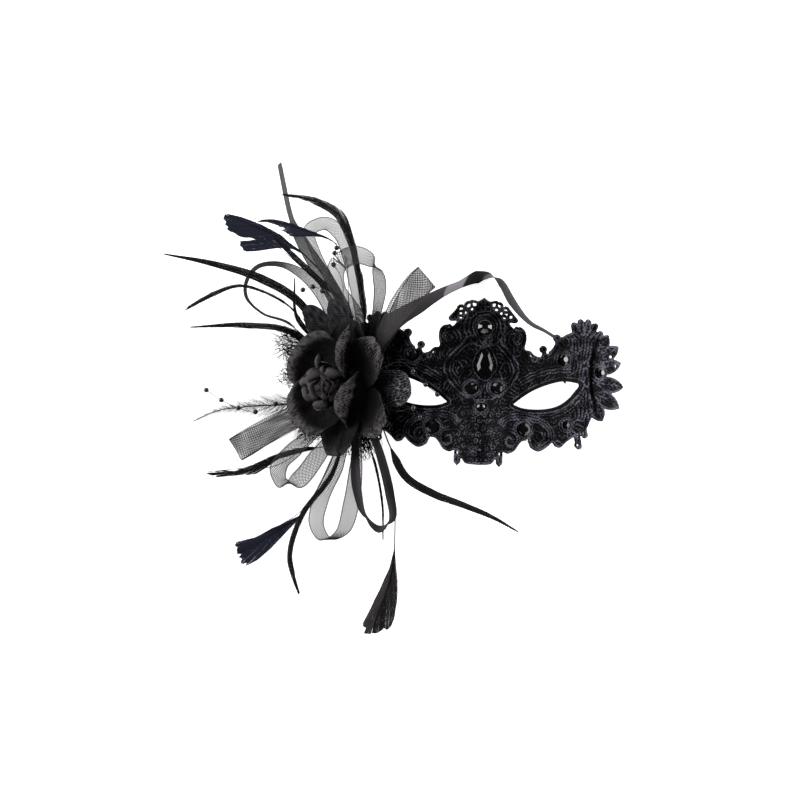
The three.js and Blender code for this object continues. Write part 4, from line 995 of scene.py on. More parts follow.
def addNetScraps():
    rng = np.random.default_rng(5)
    q = np.linspace(0, 1, 20)[None, :, None]
    paths = []
    for footFrom, footTo, (x, y, z), count in netScraps:
        place, fan = rng.random((count, 1)), np.radians(rng.uniform(-35, 35, (count, 1)))
        foot = np.array(footFrom) + (np.array(footTo) - footFrom) * place
        aim = np.hstack([x * np.cos(fan) - y * np.sin(fan), x * np.sin(fan) + y * np.cos(fan), 0 * fan + z])
        aim *= rng.uniform(0.5, 1.1, (count, 1)) * (1 - 0.5 * (2 * place - 1) ** 2)
        turns, phase = rng.uniform(5, 14, (count, 1, 3)), rng.uniform(0, 6, (count, 1, 3))
        waver = 1.5 * np.sin(turns * q + phase) * q ** 0.5
        waver[..., 2] *= 0.4
        paths.append(foot[:, None] + aim[:, None] * q + waver)
    points, faces = tubes(np.concatenate(paths), 0.17)
    makePiece("tornNet", points, faces, tornNet, "net", [])
    print("net scraps")


addNetScraps()

# The bud: satin bands rolled round each other, as azimuth, radius, height of the top edge, half angle
# and roll.
budBands = [
    (20, 7.4, 35, 70, 1), (-50, 6.6, 36.4, 80, 1), (60, 5.4, 37.6, 95, 0.9), (-80, 4.2, 38.2, 110, 0.8),
    (150, 3, 39, 130, 0.7), (20, 1.5, 38.8, 165, 0.4),
]
# Puffs of folded satin: centre and radii along the corsage's right, crown and outward ways, then folds.
budPuffs = [
    ((-7, 0.8, 31.4), (10, 10.6, 9.2), [[(-4.6, 2.9), (-1, 4.6), (3.2, 5.3)], [(-15, -0.6), (-8.5, 0),
     (-6.9, -4.2)], [(1, 3.5), (-2.6, 0), (-1.6, -4.6), (1.6, -7)], [(-13, 6), (-9, 6.6)]]),
    ((3.4, 7.8, 31.6), (6.4, 5, 6.6), [[(-2.4, 10.8), (-0.6, 8.2), (1.8, 6.6), (5, 5.4)],
     [(3, 12), (4.6, 8.6)]]),
    ((-2.2, -10.6, 32.4), (6, 3.8, 5), [[(-7, -9.4), (-4.6, -8), (0, -7.6)]]),
    ((5, -2.6, 29), (4, 7, 7), [[(3, 1), (5, -2), (3.8, -6)], [(5.6, 3), (7, -4)]]),
    ((-3.6, 14.4, 33), (1.5, 5, 2.4), [[(-7.6, 9), (-6.6, 11)]]),
    ((2.6, -2.2, 34.6), (4.6, 6, 4.6), [[(0.4, 2.6), (2.4, -0.6), (1.4, -5)],
     [(5.4, 2), (4.4, -2), (6.4, -6)], [(-1, -2), (2, -3.4)]]),
]
bud = {
    "thick": 0.3,
    "fill": 0.6,
    "foot": 21,                   # height where the bands begin
    "sink": 1.7,                  # depth of a fold in a puff
    "fold": 1.15,                 # how wide it is
}


# A band rolls outwards at its top edge: away = R (0.8 + 0.2 sin(pi v)) (1 - 0.1 s) + roll * rolled,
# where rolled = max((v - 0.8) / 0.2, 0)^2, and its edge drops by 2 s^4.
def budBand(number, azimuth, radius, top, halfAngle, roll):
    v, s = twoWays(np.linspace(0, 1, 41), np.linspace(-1, 1, 71))
    rolled = np.maximum((v - 0.8) / 0.2, 0) ** 2
    away = radius * (0.8 + 0.2 * np.sin(math.pi * v)) * (1 - 0.1 * s) + roll * rolled
    rise = top - bud["foot"] - 2 * s ** 4 + 0.9 * np.sin(3 * s + number)
    height = bud["foot"] + rise * v ** 0.9 - 0.5 * roll * rolled
    points = corsagePoint(away, azimuth + halfAngle * s, height) + rightward * 2 - crownward
    points, paintedLightAndPattern = crinkled(points, 90 + number, 0.2, 3.6, 0.9)
    # Its colour value is painted light: lighter on the crinkles, with a painted highlight on the rolled top
    # edge.
    return points, gridFaces(*s.shape), clamp(paintedLightAndPattern * 0.25 + 0.6 * clamp((v - 0.75) / 0.25))


# Each puff is a ball whose surface sinks along its folds: lift = -sink * exp(-(d / fold)^2).
def budPuff(number, centre, radii, folds):
    v, w = twoWays(np.linspace(0.02, math.pi * 0.72, 56), np.linspace(0, 2 * math.pi, 88, endpoint=False))
    away = np.stack([np.sin(v) * np.cos(w), np.sin(v) * np.sin(w), np.cos(v)], axis=-1)
    spots = np.array(centre) + away * radii
    x, y = spots[..., 0], spots[..., 1]
    distance = np.min([lineDistance(x, y, flatLine(fold))[0] for fold in folds], axis=0)
    sunk = np.exp(-(distance / bud["fold"]) ** 2)
    soft = 0.4 * sineNoise(x, y, 9, 60 + number, 8) + 0.08 * sineNoise(x, y, 2.2, 70 + number, 16)
    spots = spots + away * (soft - bud["sink"] * sunk)[..., None]
    points = corsageFoot + spots[..., :1] * rightward + spots[..., 1:2] * crownward + spots[..., 2:] * outward
    # Painted shade in the folds and towards the puff's foot, and painted light on its swells.
    shade = clamp(0.85 * (1 - sunk) + 0.3 * soft - 0.9 * clamp((v - 0.75) / 0.8))
    return points, gridFaces(*v.shape, True), shade


def addBud():
    cloths = ([budBand(number, *band) for number, band in enumerate(budBands)]
              + [budPuff(number, *puff) for number, puff in enumerate(budPuffs)])
    points, faces = joinParts([(points.reshape(-1, 3), faces) for points, faces, _ in cloths])
    piece = makePiece("satinBud", points, faces, budCloth, "bud", ["rose_bud"],
                      {"paintedLightAndPattern": np.concatenate([shade.ravel() for _, _, shade in cloths])})
    thicken(piece, bud["thick"])
    print("bud")


addBud()

# Wool felt scatters nearly all light, so it stays flat black under the rose.
felt = makeMaterial("Pressed wool felt, black", 0.95, 0.1, "#0d0d0f")


# The felt disc and its wrapped stem hub: a profile of radius and height turned about the corsage's foot.
def addFelt():
    profile = np.array([(0, 0.3), (feltRadius - 0.4, 0.3), (feltRadius, 0.8), (feltRadius, 2.2),
                        (feltRadius - 0.4, 2.6), (11, 2.6), (11, 12), (0, 12)])
    angle = np.arange(72) * 5.0
    points = corsagePoint(profile[:, :1] + 0 * angle, angle + 0 * profile[:, :1], profile[:, 1:] + 0 * angle)
    makePiece("feltDisc", points, gridFaces(len(profile), 72, True), felt, "felt", ["felt_base"])


addFelt()

# Crin loops: braid of stiff bias threads with corded selvedges

# Round nylon thread gives each bias line a thin bright edge, and the see-through ground stands for the
# threads too fine to draw.
crinThread = makeMaterial("Nylon horsehair braid thread, grey", 0.4, 0.5, "#2c2829")
crinGround = makeMaterial("Nylon horsehair braid, its finest threads", 0.5, 0.5, "#3a3537", Alpha=0.2)

crinPieces = {
    "crin_loop_left": dict(
        leave=(152, "middle"), back=(122, "low"),
        route=[(-62, 45.6, 6.5), (-78.3, 51.9, 7.4), (-87.9, 61.5, 8.4), (-87.9, 71.1, 9.6),
               (-80.7, 80.1, 11.4), (-66, 81, 12.4), (-50, 72, 11.6), (-39, 57, 10.4)],
        width=[2.4, 4.6, 9, 10, 11.5, 11.5, 11.5, 11.5, 10, 8, 4.6, 2.4],
        broad=[(-0.05, -0.15, 1), (-0.04, -0.1, 1), (-0.13, -0.03, 1), (-0.13, 0.05, 1), (-0.1, 0.16, 1),
               (0.05, 0.27, 1), (0.35, 0.6, 0.8), (0.5, 0.9, 0.2)]),
    "crin_strip_tall": dict(
        pitch=0.7, leave=(102, "low"),
        route=[(-28.4, 50, 19), (-38, 68, 19), (-54.5, 95, 23), (-60.3, 107.7, 25), (-67.8, 141.3, 22)],
        width=[2.4, 4.6, 9, 10, 9, 10, 10],
        broad=[(-1, -0.4, 0), (-1, -0.4, -0.2), (-0.8, -0.3, -0.7), (-0.28, -0.1, -1), (-0.25, -0.1, -1)]),
    "crin_loop_up": dict(
        leave=(83, "low"), back=(90, "middle"),
        route=[(-19, 48, 23), (-22.6, 72, 27), (-26.1, 88, 31), (-30.6, 98.6, 33), (-40, 105.2, 32),
               (-49.5, 101, 31), (-46, 88, 33), (-32, 60, 26)],
        width=[2.4, 4, 6, 8, 9, 9, 8, 8, 6, 5, 4, 2.4],
        broad=[(-1, 0, 0), (-0.9, -0.2, 0), (-0.6, -0.8, 0), (0.5, -0.9, -0.2), (0.9, -0.3, -0.3),
               (1, 0, -0.3)]),
    "crin_loop_middle": dict(
        leave=(78, "high"), back=(62, "middle"),
        route=[(-20.5, 50, 36), (-33, 67, 42), (-32.5, 80, 46), (-22, 86, 46), (-11.6, 81.6, 43),
               (-7.6, 70, 38), (-8.8, 55, 32)],
        width=[2.4, 4, 7, 10, 11, 11, 9, 8, 6, 4, 2.4],
        broad=[(-1, -0.2, -0.3), (-0.8, -0.4, -0.2), (-0.2, -1, 0.2), (0.5, -0.8, 0.1), (1, -0.4, 0)]),
    "crin_loop_boxy_right": dict(
        pitch=1.5, leave=(50, "high"), back=(46, "low"),
        route=[(4, 54, 42), (15, 68, 48), (20.6, 73, 45), (15, 67.6, 41), (4, 52, 34)],
        width=[2.4, 6, 15, 16, 16, 15.6, 12, 4, 2.4],
        broad=[(-0.6, 0.7, -0.1), (-0.6, 0.7, -0.1), (-0.6, 0.7, -0.1)]),
    "crin_loop_boxy_left": dict(
        pitch=1.45, leave=(-156, "middle"), back=(-154, "low"),
        route=[(-60, -11, 5), (-80, -21.4, 9.4), (-91, -28, 10.6), (-94.8, -30.4, 8.6), (-88, -26.6, 6.4),
               (-66, -14.6, 3)],
        width=[2.4, 6, 14, 15, 15, 15, 15, 12, 5, 2.4],
        broad=[(-0.5, 0.85, 0), (-0.5, 0.85, 0), (-0.5, 0.85, 0)]),
    "crin_loop_low_left": dict(
        leave=(-130, "high"), back=(-119, "low"),
        route=[(-59, -30, 8), (-68.6, -41, 13), (-66.6, -50, 12.4), (-57.5, -49, 9.6), (-45, -34, 10)],
        width=[2.4, 4, 10, 11.5, 11.5, 11.5, 10, 4, 2.4],
        broad=[(-0.8, 0.6, -0.3), (-1, 0, -0.4), (-0.3, -0.6, -0.8), (-0.8, 0.5, -0.4), (-0.7, 0.7, -0.1)]),
    "crin_loop_low": dict(
        leave=(-104, "low"), back=(-86, "low"),
        route=[(-34, -40, 14), (-43, -60, 12), (-45.8, -75, 12), (-40, -84, 16), (-30, -79, 22),
               (-24.9, -63.3, 24), (-22, -42, 23)],
        width=[2.4, 4, 9, 10, 10, 10, 10, 10, 8, 4, 2.4],
        broad=[(-1, 0.2, 0.4), (-0.9, 0.3, 0.4), (-0.8, 0, 0.5), (-0.9, -0.2, 0.4), (-1, -0.1, 0.1)]),
}
crin = {
    "braid": 11.5,                # the narrowest braid that is sold flat
    "thread": 0.2,
    "pitch": 1.3,
    "over": 0.12,                 # how far each set of threads lies off the middle
    "selvedges": ((1, 0.16), (0.92, 0.12), (-0.92, 0.12), (-1, 0.16)),    # share across, radius
}


# Bias threads of a strip: u = start + W (s + 1) / 2 from edge to edge, in both directions.
def crinThreads(line, nominal, pitch):
    length = line["length"]
    s = np.linspace(-1, 1, 13)
    parts = []
    for sign in (-1, 1):
        starts = np.arange(-nominal, length, pitch)
        u = starts[:, None] + nominal * (sign * s[None, :] + 1) / 2
        fits = ((u >= 0) & (u <= length)).sum(axis=1) >= 4
        u = np.clip(u[fits], 0, length)
        spots = onLine(line, u, readLine(line, "half", u) * s, sign * crin["over"])
        parts.append(tubes(spots, crin["thread"]))
    rows = np.linspace(0, length, int(length / 0.8))
    half = readLine(line, "half", rows)
    for share, radius in crin["selvedges"]:
        parts.append(tubes(onLine(line, rows, half * share), radius, 4))
    return joinParts(parts)


def addCrin():
    for node, shape in crinPieces.items():
        shape = dict(shape)
        pitch, nominal = shape.pop("pitch", crin["pitch"]), max(shape["width"])
        line = hubLine(**shape)
        length = line["length"]
        points, faces, _ = ribbonSurface(line, int(length / 1.2), 7)
        ground = makePiece("ground_" + node, points, faces, crinGround, "crin", [node])
        braid = makePiece("braid_" + node, *crinThreads(line, nominal, pitch), crinThread, "crin", [node])
        print(node, round(length))


addCrin()

# The dark satin loop, which never turns its bright face up

satinLoop = dict(
    leave=(-82, "high"), back=(-58, "high"),
    route=[(-22.4, -38, 28), (-21, -55, 30), (-16.6, -70, 29), (-7.6, -77.6, 30), (-0.2, -72, 34),
           (-1.6, -56, 36), (-7, -34, 36)],
    width=[2.4, 4, 6, 6, 6, 6, 6, 6, 5, 4, 2.4],
    broad=[(1, 0, 0.3), (0.6, -0.5, 0.6), (0, -0.7, 0.7), (-0.8, 0, 0.7), (-1, 0, 0.3)])


def addSatinLoop():
    line = hubLine(**satinLoop)
    points, faces, across = ribbonSurface(line, 240, 11, 1.4)
    piece = makePiece("satinLoop", points, faces, satin, "satin", ["satin_loop_dark"],
                      {"across": across, "paintedSheenAndDullBack": np.full(across.shape, 0.34)})
    thicken(piece, tie["thick"])


addSatinLoop()

# Feathers: a shaft with fine barbs

# Dyed barbs lie side by side like a satin weave, each a shade off its neighbour: fine streaks, a dull shine.
def featherMaterial(name, low, high):
    material = makeMaterial(name, 0.55, 0.2)
    tree = material.node_tree
    mixColours(tree, addNode(tree, "Attribute", attribute_name="streak").outputs["Fac"], low, high)
    return material


barbTones = {
    "black": featherMaterial("Dyed feather barbs, black", "#030304", "#1d1d21"),
    "navy": featherMaterial("Dyed feather barbs, blue black", "#06070d", "#222536"),
    "brown": featherMaterial("Dyed feather barbs, brown black", "#0c0a0b", "#454043"),
    "down": featherMaterial("Undyed down, smoke grey", "#1c1a1c", "#6b6769"),
}
# Dyed horn, only just shiny: the shaft shows as a thin line.
shaftBlack = makeMaterial("Feather shaft, dyed black", 0.6, 0.1, "#08080a")

# A plain feather has the vane's width along its shaft, from the share `start` of the length. The others
# have vanes with a middle line and an outline of their own. `slant` is the barbs' angle in degrees and
# `ragged` how unevenly they end.
feathers = {
    "feather_blade_left": dict(
        leave=(138, "low"), start=0.2, ragged=0.04,
        route=[(-55.5, 57.9, 10.4), (-78.3, 72.3, 16.6), (-108, 81.5, 22), (-137.1, 87.3, 20)],
        width=[1.6, 3, 5, 5.4, 3.6, 0.8]),
    "feather_curved_left": dict(
        leave=(148, "high"), start=0.25, ragged=0.3,
        route=[(-60, 54, 19), (-78.3, 65, 26), (-92, 68, 26), (-108, 63, 22), (-125.1, 53.7, 16)],
        width=[1.2, 1.4, 1.8, 2.2, 2.6, 3.4, 1.8]),
    "feather_wisp_left": dict(
        leave=(164, "low"), start=0.24, ragged=0.2,
        route=[(-60, 40, 3.4), (-88, 44.6, 13), (-122.1, 43.5, 16)],
        width=[1.2, 2.6, 4.2, 4, 1]),
    "feather_paddle_tall": dict(
        leave=(108, "middle"), shaft=0.25,
        route=[(-34.6, 57, 24), (-45, 70, 31), (-60, 84, 36), (-72, 94.6, 35)],
        vanes=[(
            [(-41.9, 75.8, 28), (-48.9, 82.8, 31), (-54.8, 88.4, 33), (-61.9, 93.4, 34), (-69.6, 97.8, 35),
             (-78.5, 101.7, 35), (-87.5, 105.6, 34), (-97.6, 109.8, 33)],
            [(-53, 87.5), (-54.8, 88.7), (-60.8, 93.4), (-66.7, 98.5), (-72.6, 101.7), (-78.6, 104.7),
             (-84.5, 107.1), (-90.4, 109.2), (-96.4, 110.5), (-100.2, 111.2), (-100.5, 109.5),
             (-101.1, 107.7), (-99.3, 105.9), (-99.9, 104.4), (-98.1, 102.9), (-98.7, 101.7), (-96.9, 100),
             (-94.6, 99.4), (-91.6, 97.3), (-88.6, 96.4), (-84.5, 96.3), (-82.1, 95.4), (-85.7, 94.6),
             (-89.2, 95.1), (-91.6, 95.5), (-90.4, 93.4), (-91, 91.7), (-89.2, 90.5), (-88.6, 88.7),
             (-86.3, 87.8), (-82.1, 87.5), (-77.4, 88.1), (-73.8, 89), (-69.1, 90.1), (-63.7, 90.3),
             (-59.6, 89.6), (-54.8, 87.2)],
            dict(tone="navy", slant=39, ragged=0.05)), (
            [(-28.8, 58, 26), (-39.4, 68, 31), (-49.5, 76.2, 35), (-57.7, 83.5, 38), (-66, 91.5, 39),
             (-72.5, 97.9, 39)],
            [(-72.6, 98.1), (-69.6, 97.2), (-63.1, 91.9), (-54.8, 84.2), (-47.1, 76.8), (-38.2, 68.5),
             (-28.1, 58.4), (-30.5, 56.6), (-41.7, 66.7), (-51.2, 75.3), (-60.1, 84.2), (-67.2, 91.6)],
            dict(tone="black", slant=9, ragged=0.2))]),
    "feather_paddle_small": dict(
        leave=(90, "high"), shaft=0.22,
        route=[(-25.5, 48, 29), (-26.2, 60, 33.6), (-26.4, 72, 44), (-28, 84, 54), (-37, 95, 55),
               (-49, 99.6, 54), (-62, 102, 52), (-81.9, 107.7, 49)],
        vanes=[(
            [(-32.6, 91.9, 54), (-37.9, 95.2, 55), (-43.8, 97.6, 55), (-50.9, 99.9, 54),
             (-58.6, 102.6, 53), (-66.3, 105, 52), (-73.4, 106.3, 51), (-79.9, 106, 50)],
            [(-34.4, 93.1), (-39.1, 94.8), (-43.8, 96.1), (-48.6, 96.5), (-54.4, 96), (-59.2, 95.9),
             (-62.1, 97), (-63.9, 99), (-66.8, 100.5), (-63.9, 101), (-66.8, 102), (-70.4, 103.7),
             (-73.9, 104.9), (-79.2, 105.3), (-80.7, 105.5), (-78, 106.9), (-73.3, 107.5), (-67.4, 107.1),
             (-60.3, 105.2), (-54.4, 103), (-48.6, 100.6), (-42.7, 98.5), (-36.8, 95.5), (-34.4, 93.7)],
            dict(tone="navy", slant=22, ragged=0.22))]),
    "feather_crook_up": dict(
        leave=(70, "low"), start=0.2, ragged=0.4,
        route=[(-16.6, 50, 30), (-20.4, 76, 38), (-26.7, 99.9, 41), (-33, 111, 41), (-48, 119, 40),
               (-66.9, 122.7, 38)],
        width=[2, 3.2, 4.6, 5, 7, 5.4, 1.4]),
    "feather_spike": dict(
        leave=(132, "middle"), start=0.3, ragged=0.1,
        route=[(-57, 48, 9.6), (-58.8, 72.9, 24)],
        width=[1, 1.8, 2.4, 0.8]),
    "feather_brush_low_left": dict(
        leave=(-138, "low"), shaft=0.2,
        route=[(-56, -31, 4), (-72, -40.4, 4.4), (-92, -41.6, 5), (-112, -43.6, 5)],
        vanes=[(
            [(-42.2, -28.5, 4), (-50.6, -30, 4), (-59, -32.1, 4), (-67.4, -35, 4.4), (-75.8, -38.9, 4.6),
             (-85.4, -42.2, 5), (-96.1, -44.3, 5), (-104.5, -44.7, 5), (-110.5, -45.1, 5)],
            [(-42.2, -27.3), (-49.4, -27.9), (-55.4, -28.8), (-61.4, -29.9), (-67.4, -31.7),
             (-73.4, -34.1), (-78.2, -36.1), (-85.4, -39.2), (-91.3, -41.3), (-96.1, -43), (-99.7, -42),
             (-102.7, -40.6), (-106.3, -40.4), (-104.5, -42.2), (-102.1, -43.4), (-108.1, -42.1),
             (-109.3, -42.8), (-105.7, -43.8), (-111.7, -44), (-112.9, -45.2), (-109.3, -46.4),
             (-107.5, -45.8), (-106.9, -47), (-103.3, -46.8), (-97.3, -46.4), (-91.3, -45.8),
             (-85.4, -45.8), (-79.4, -45.5), (-77, -43.4), (-73.4, -39.2), (-69.2, -36.5), (-65.6, -35.6),
             (-61.4, -34.4), (-55.4, -32.6), (-48.2, -30.8)],
            dict(tone="black", slant=15, ragged=0.3))]),
    "feather_paddle_low_left": dict(
        leave=(-110, "middle"), shaft=0.3,
        route=[(-39, -42, 19), (-54, -66, 20), (-70, -77, 20), (-92.1, -92.1, 19)],
        vanes=[(
            [(-51.5, -66.2, 20), (-57.5, -71.2, 20), (-65.8, -76.6, 20), (-75.4, -82.8, 20),
             (-84.9, -88.2, 19.5), (-90.9, -91.5, 19)],
            [(-53.3, -68.2), (-56.3, -69.7), (-61.1, -71.8), (-67, -74.8), (-73, -77.2), (-77.8, -79.9),
             (-82.5, -82.6), (-87.9, -82.8), (-93.2, -83.7), (-94.1, -85.5), (-94.7, -87.3),
             (-93.5, -88.5), (-94.4, -90.3), (-93.8, -93.3), (-90.9, -93), (-92.7, -95.1), (-90.3, -95.7),
             (-91.2, -97.8), (-90.3, -99.2), (-87.9, -98.3), (-88.2, -100.3), (-84.9, -98.6),
             (-81.3, -96.9), (-77.8, -93.9), (-73, -89.7), (-67, -83.4), (-61.1, -77.2), (-57.5, -73.6),
             (-53.3, -70)],
            dict(tone="navy", slant=21, ragged=0.14))]),
    "feather_crook_low": dict(
        leave=(-100, "high"), start=0.2, ragged=0.2,
        route=[(-36, -44, 25), (-54, -69, 26), (-61.5, -92.1, 26), (-59.6, -105.3, 24), (-55.8, -117.3, 22)],
        width=[1.4, 2.6, 3.6, 3.8, 3.4, 1.6]),
    "feather_paddle_low": dict(
        leave=(-66, "low"), shaft=0.55,
        route=[(-4, -38, 31), (1, -62, 27), (1.2, -86, 24), (-0.6, -106, 23), (-7, -124, 22),
               (-12, -139, 21)],
        vanes=[(
            [(1.3, -87.2, 24), (0.6, -95.5, 23.6), (-1, -105.1, 23), (-3.5, -114, 22.5), (-6.8, -123, 22),
             (-9.8, -130.8, 21.5), (-11.6, -136.7, 21)],
            [(1, -88.5), (-0.5, -95), (-2.1, -101), (-5, -107.5), (-8, -114.1), (-11, -120),
             (-13.4, -125.4), (-16.3, -130.7), (-18.1, -134.3), (-17.8, -136.4), (-16.3, -137.3),
             (-17.5, -140.6), (-15.8, -140.9), (-12.2, -140.7), (-9.8, -140.6), (-6.8, -139.1),
             (-5, -137.3), (-3.8, -138.2), (-2.1, -137.3), (-0.3, -135.2), (1.2, -131.3), (2.1, -126),
             (3.1, -119.4), (3.3, -113.5), (3.1, -107.5), (2.5, -101.6), (2, -95.6), (1.6, -88.5)],
            dict(tone="brown", slant=22, ragged=0.1, darkSide=-1))]),
    "feather_sickle_right": dict(
        leave=(-44, "low"), start=0.26, ragged=0.1,
        route=[(-1.4, -28, 45), (8, -46, 45), (24, -56, 40), (42, -63, 33), (60, -70.6, 26),
               (75.6, -79.5, 20)],
        width=[1.6, 4, 5, 5, 4.4, 3, 0.8]),
    "feather_fluffy_left": dict(
        leave=(-167, "low"), start=0.26, tone="down", slant=32, ragged=0.6,
        route=[(-66, -3, 3), (-78, -3.6, 3.6), (-90.3, -4.5, 5), (-105.9, -6.9, 7), (-119.7, -12.9, 6)],
        width=[4, 9, 14, 16, 14, 11, 9, 5, 1.4]),
    "feather_strip_low": dict(
        leave=(-73, "middle"), start=0.3, ragged=0.1,
        route=[(-9.6, -42, 25), (-6, -64, 24), (-5.7, -84.3, 22)],
        width=[1.2, 1.6, 1.8, 1.6, 0.8]),
}


# The outline of a plain vane: its half width along the shaft, which grows over the first 10 mm.
def vaneOutline(line, start):
    u = np.linspace(start, line["length"], 140)
    half = readLine(line, "half", u) * np.minimum((u - start) / 10, 1)
    return np.concatenate([onLine(line, u, half), onLine(line, u, -half)[::-1]])[:, :2]


barb = {
    "slant": 14,
    "pitch": 0.4,
    "downPitch": 0.25,
    "reach": 42,                  # the longest barb that is looked for
    "shingle": 0.02,              # how far a barb's far edge lies over the next one
    "dish": 0.15,                 # rise for each millimetre away from the shaft
}


# Barbs leave the shaft at the slant, which falls towards the tip as 1 - 0.92 p^3 and bends on by a fifth:
# along = u + t cos a, aside = t sin a, out to where the outline is first crossed. Each barb is a flat
# sliver up to the next one, tipped like a shingle. Barbs hold together in locks that part at their ends,
# and downy ones stand alone, wild and wavy.
def barbs(line, outline, start, seed, slant=barb["slant"], ragged=0.1, darkSide=0, isDowny=False):
    rng = np.random.default_rng(seed)
    length, reach, steps = line["length"], barb["reach"], 210    # a step is 0.2 mm
    t = np.linspace(0, reach, steps + 1)[None, :]
    q = np.linspace(0, 1, 9)[None, :]
    roots = np.append(np.arange(start, length, barb["downPitch" if isDowny else "pitch"]), length)
    count = len(roots)
    each = np.arange(count)
    p = (roots - start) / (length - start)
    parts, streaks = [], []
    for sign in (1, -1):
        angle = math.radians(slant) * (1 - 0.92 * p ** 3)
        lock = np.cumsum(rng.random(count) < (0.5 if isDowny else 0.09))
        bend = rng.normal(0, 0.5, lock[-1] + 1)[lock] * ragged * 2
        if isDowny:
            angle = angle + rng.normal(0, 0.16, count)

        def curve(number, t):
            number = np.minimum(number, count - 1)[:, None]
            aim = angle[number] * (1 - 0.2 * t / reach)
            return roots[number] + t * np.cos(aim), sign * t * np.sin(aim)

        spots = onLine(line, *curve(each, t))
        isOut = ~isInside(spots[..., 0], spots[..., 1], outline)
        isOut[:, :4] = False
        isOut[:, -1] = True
        full = reach * np.argmax(isOut, axis=1) / steps
        full = np.maximum(full - ragged * (6 * rng.random(lock[-1] + 1)[lock] + 3 * rng.random(count)), 0.6)
        if isDowny:
            full *= rng.uniform(0.7, 1.5, count)
        edges = []
        for step in (0, 1):
            u, aside = curve(each if isDowny else each + step, q * full[:, None])
            if isDowny:
                u = u + step * 0.35 * (1 - 0.7 * q)
                aside = aside + 0.5 * np.sin(5 * q + each[:, None] * 1.7) * q
            else:
                u = u + bend[:, None] * q ** 3
            lift = barb["dish"] * np.abs(aside) + barb["shingle"] * step + 0.04 * (lock[:, None] % 3) * q
            edges.append(onLine(line, u, aside, lift))
        parts.append((np.stack(edges, axis=2).reshape(-1, 3), repeatFaces(gridFaces(9, 2), count, 18)))
        tone = 0.25 + 0.5 * rng.random(count) + 0.3 * rng.random(lock[-1] + 1)[lock]
        streaks.append(np.repeat(clamp(tone - 0.5 * (sign == darkSide)), 18))
    return *joinParts(parts), np.concatenate(streaks)


# A tapering round stem along a line.
def addStem(name, node, line, steps, radii, lift=0):
    spots = onLine(line, evenly(line, steps), 0, lift)
    points, faces = tubes(spots, np.linspace(*radii, steps)[None, :], 6)
    makePiece(name + node, points, faces, shaftBlack, "feather", [node])


def addVane(name, node, line, outline, start, seed, tone="black", **shape):
    points, faces, streaks = barbs(line, outline, start, seed, isDowny=tone == "down", **shape)
    makePiece(name + node, points, faces, barbTones[tone], "feather", [node], {"streak": streaks})


def addFeathers():
    for number, (node, shape) in enumerate(feathers.items()):
        shape = dict(shape)
        line = hubLine(shape.pop("leave"), shape.pop("route"), shape.pop("width", (1, 1)))
        shaft = shape.pop("shaft", 0.5)
        if "vanes" not in shape:
            start = line["length"] * shape.pop("start")
            addVane("vane0_", node, line, vaneOutline(line, start), start, 200 + number, **shape)
        for place, (middle, outline, look) in enumerate(shape.get("vanes", [])):
            own = stripLine(middle, (1, 1), spare=40)
            addVane(f"vane{place}_", node, own, np.array(outline), 0, 200 + number, **look)
            if place == 0:
                addStem("quill_", node, own, 60, (0.3, 0.1), 0.1)
        addStem("shaft_", node, line, 90, (shaft, 0.18))
    print("feathers")


addFeathers()

# Bead sprays

# Glass beads give one small sharp light each, and lacquer leaves the wire a softer one.
beadGlass = makeMaterial("Pressed glass bead, black", 0.08, 0.7, "#070708")
wireSteel = makeMaterial("Lacquered floral wire, black", 0.35, 0.5, "#2b2a2c", Metallic=0.6)

# The last `beads` spots of each route carry a bead.
sprays = {
    "bead_spray_up": dict(
        leave=(101, "high"), beads=3,
        route=[(-30, 52, 22), (-29.4, 66, 25), (-32, 76, 33), (-35.1, 80.4, 38), (-34.5, 87.3, 39),
               (-33.3, 90.4, 39)]),
    "bead_spray_up_left": dict(
        leave=(117, "high"), beads=3,
        route=[(-38, 57, 18), (-42, 65, 25), (-47.7, 67.5, 27), (-53.7, 65.7, 25)]),
    "bead_spray_left": dict(
        leave=(-174, "middle"), beads=5,
        route=[(-58, -2.6, 8), (-70.5, -2.7, 11), (-82.5, -7.5, 12), (-92.7, -5.1, 13), (-102.9, -0.3, 14),
               (-111.9, 5.7, 15)]),
    "bead_spray_right_up": dict(
        leave=(24, "high"), beads=3,
        route=[(5.1, 22.5, 48), (12.3, 16.7, 51), (19.8, 8.9, 51), (26.7, 3.1, 50)]),
    "bead_spray_right_low": dict(
        leave=(-24, "high"), beads=3,
        route=[(3, -7, 49), (12.3, -5.3, 52), (16.5, -10.5, 52), (21.3, -21.3, 51)]),
}
beadRadius = 1.6
wireRadius = 0.2


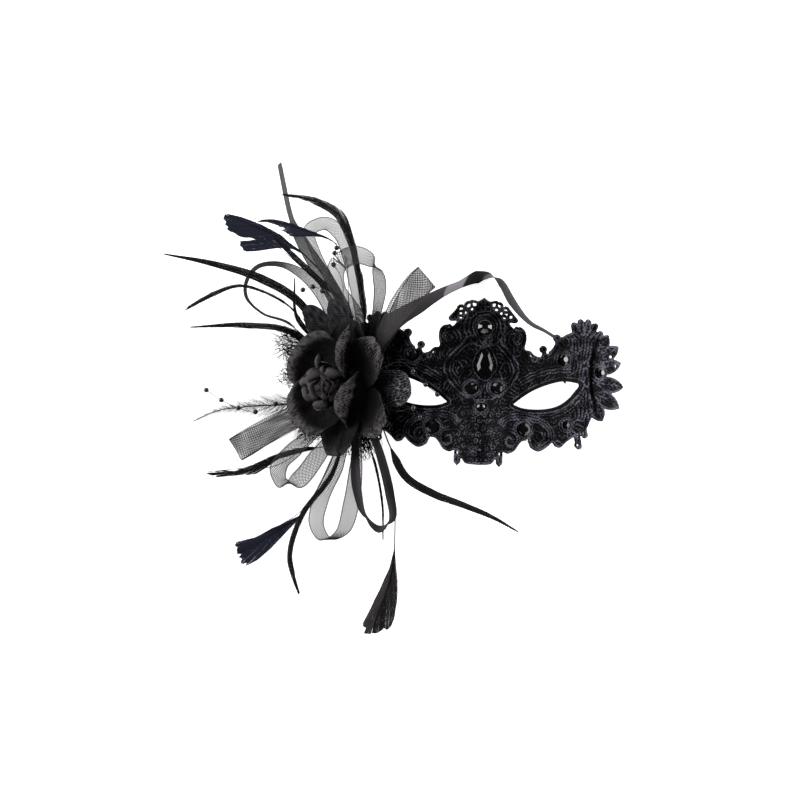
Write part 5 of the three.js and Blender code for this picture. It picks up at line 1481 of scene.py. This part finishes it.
# Balls round some spots: spot + radius * (sin v cos w, sin v sin w, cos v).
def beadSpheres(spots, radius):
    v, w = twoWays(np.linspace(0, math.pi, 9), np.arange(12) * math.pi / 6)
    ball = np.stack([np.sin(v) * np.cos(w), np.sin(v) * np.sin(w), np.cos(v)], axis=-1).reshape(-1, 3)
    points = np.asarray(spots, float)[:, None] + ball[None] * radius
    return points.reshape(-1, 3), repeatFaces(gridFaces(9, 12, True), len(spots), len(ball))


def addSprays():
    for node, shape in sprays.items():
        line = hubLine(shape["leave"], shape["route"])
        points, faces = beadSpheres(shape["route"][-shape["beads"]:], beadRadius)
        makePiece("beads_" + node, points, faces, beadGlass, "bead", [node])
        points, faces = tubes(onLine(line, evenly(line, 120)), wireRadius, 5)
        makePiece("wire_" + node, points, faces, wireSteel, "bead", [node])
    print("sprays")


addSprays()

# The table and the light

# Soft lights on the left, on the right, past the crown and near the viewer: spot, size and watts.
softLights = {
    "softLeft": ((-1.38, 0.42, 0.52), (1.0, 1.1), 28), "softRight": ((1.4, 0.36, 0.5), (0.9, 1.1), 28),
    "softCrown": ((0.1, 1.4, 0.9), (1.2, 0.5), 7), "softNear": ((0, -1.3, 0.9), (1.2, 0.5), 4),
}


# A table that glows a little, as in a light box, so that it stays white under soft light.
def addStage():
    bpy.ops.mesh.primitive_plane_add(size=8, location=(0, 0, -0.0004))
    floor = bpy.context.active_object
    floor.data.materials.append(makeMaterial("White table", 0.9, 0, "#f4f4f4", Emission_Color=(1, 1, 1, 1),
                                             Emission_Strength=0.9))
    world = bpy.data.worlds.new("studio")
    bpy.context.scene.world = world
    world.use_nodes = True
    background = world.node_tree.nodes["Background"]
    background.inputs["Color"].default_value = (1, 1, 1, 1)
    background.inputs["Strength"].default_value = 0.05
    for name, (spot, size, power) in softLights.items():
        data = bpy.data.lights.new(name, "AREA")
        data.shape = "RECTANGLE"
        data.size, data.size_y = size
        data.energy = power
        light = bpy.data.objects.new(name, data)
        light.location = spot
        light.rotation_euler = (Vector((0.02, 0, 0.03)) - Vector(spot)).to_track_quat("-Z", "Y").to_euler()
        bpy.context.collection.objects.link(light)
    bpy.context.scene.view_settings.view_transform = "Standard"


addStage()
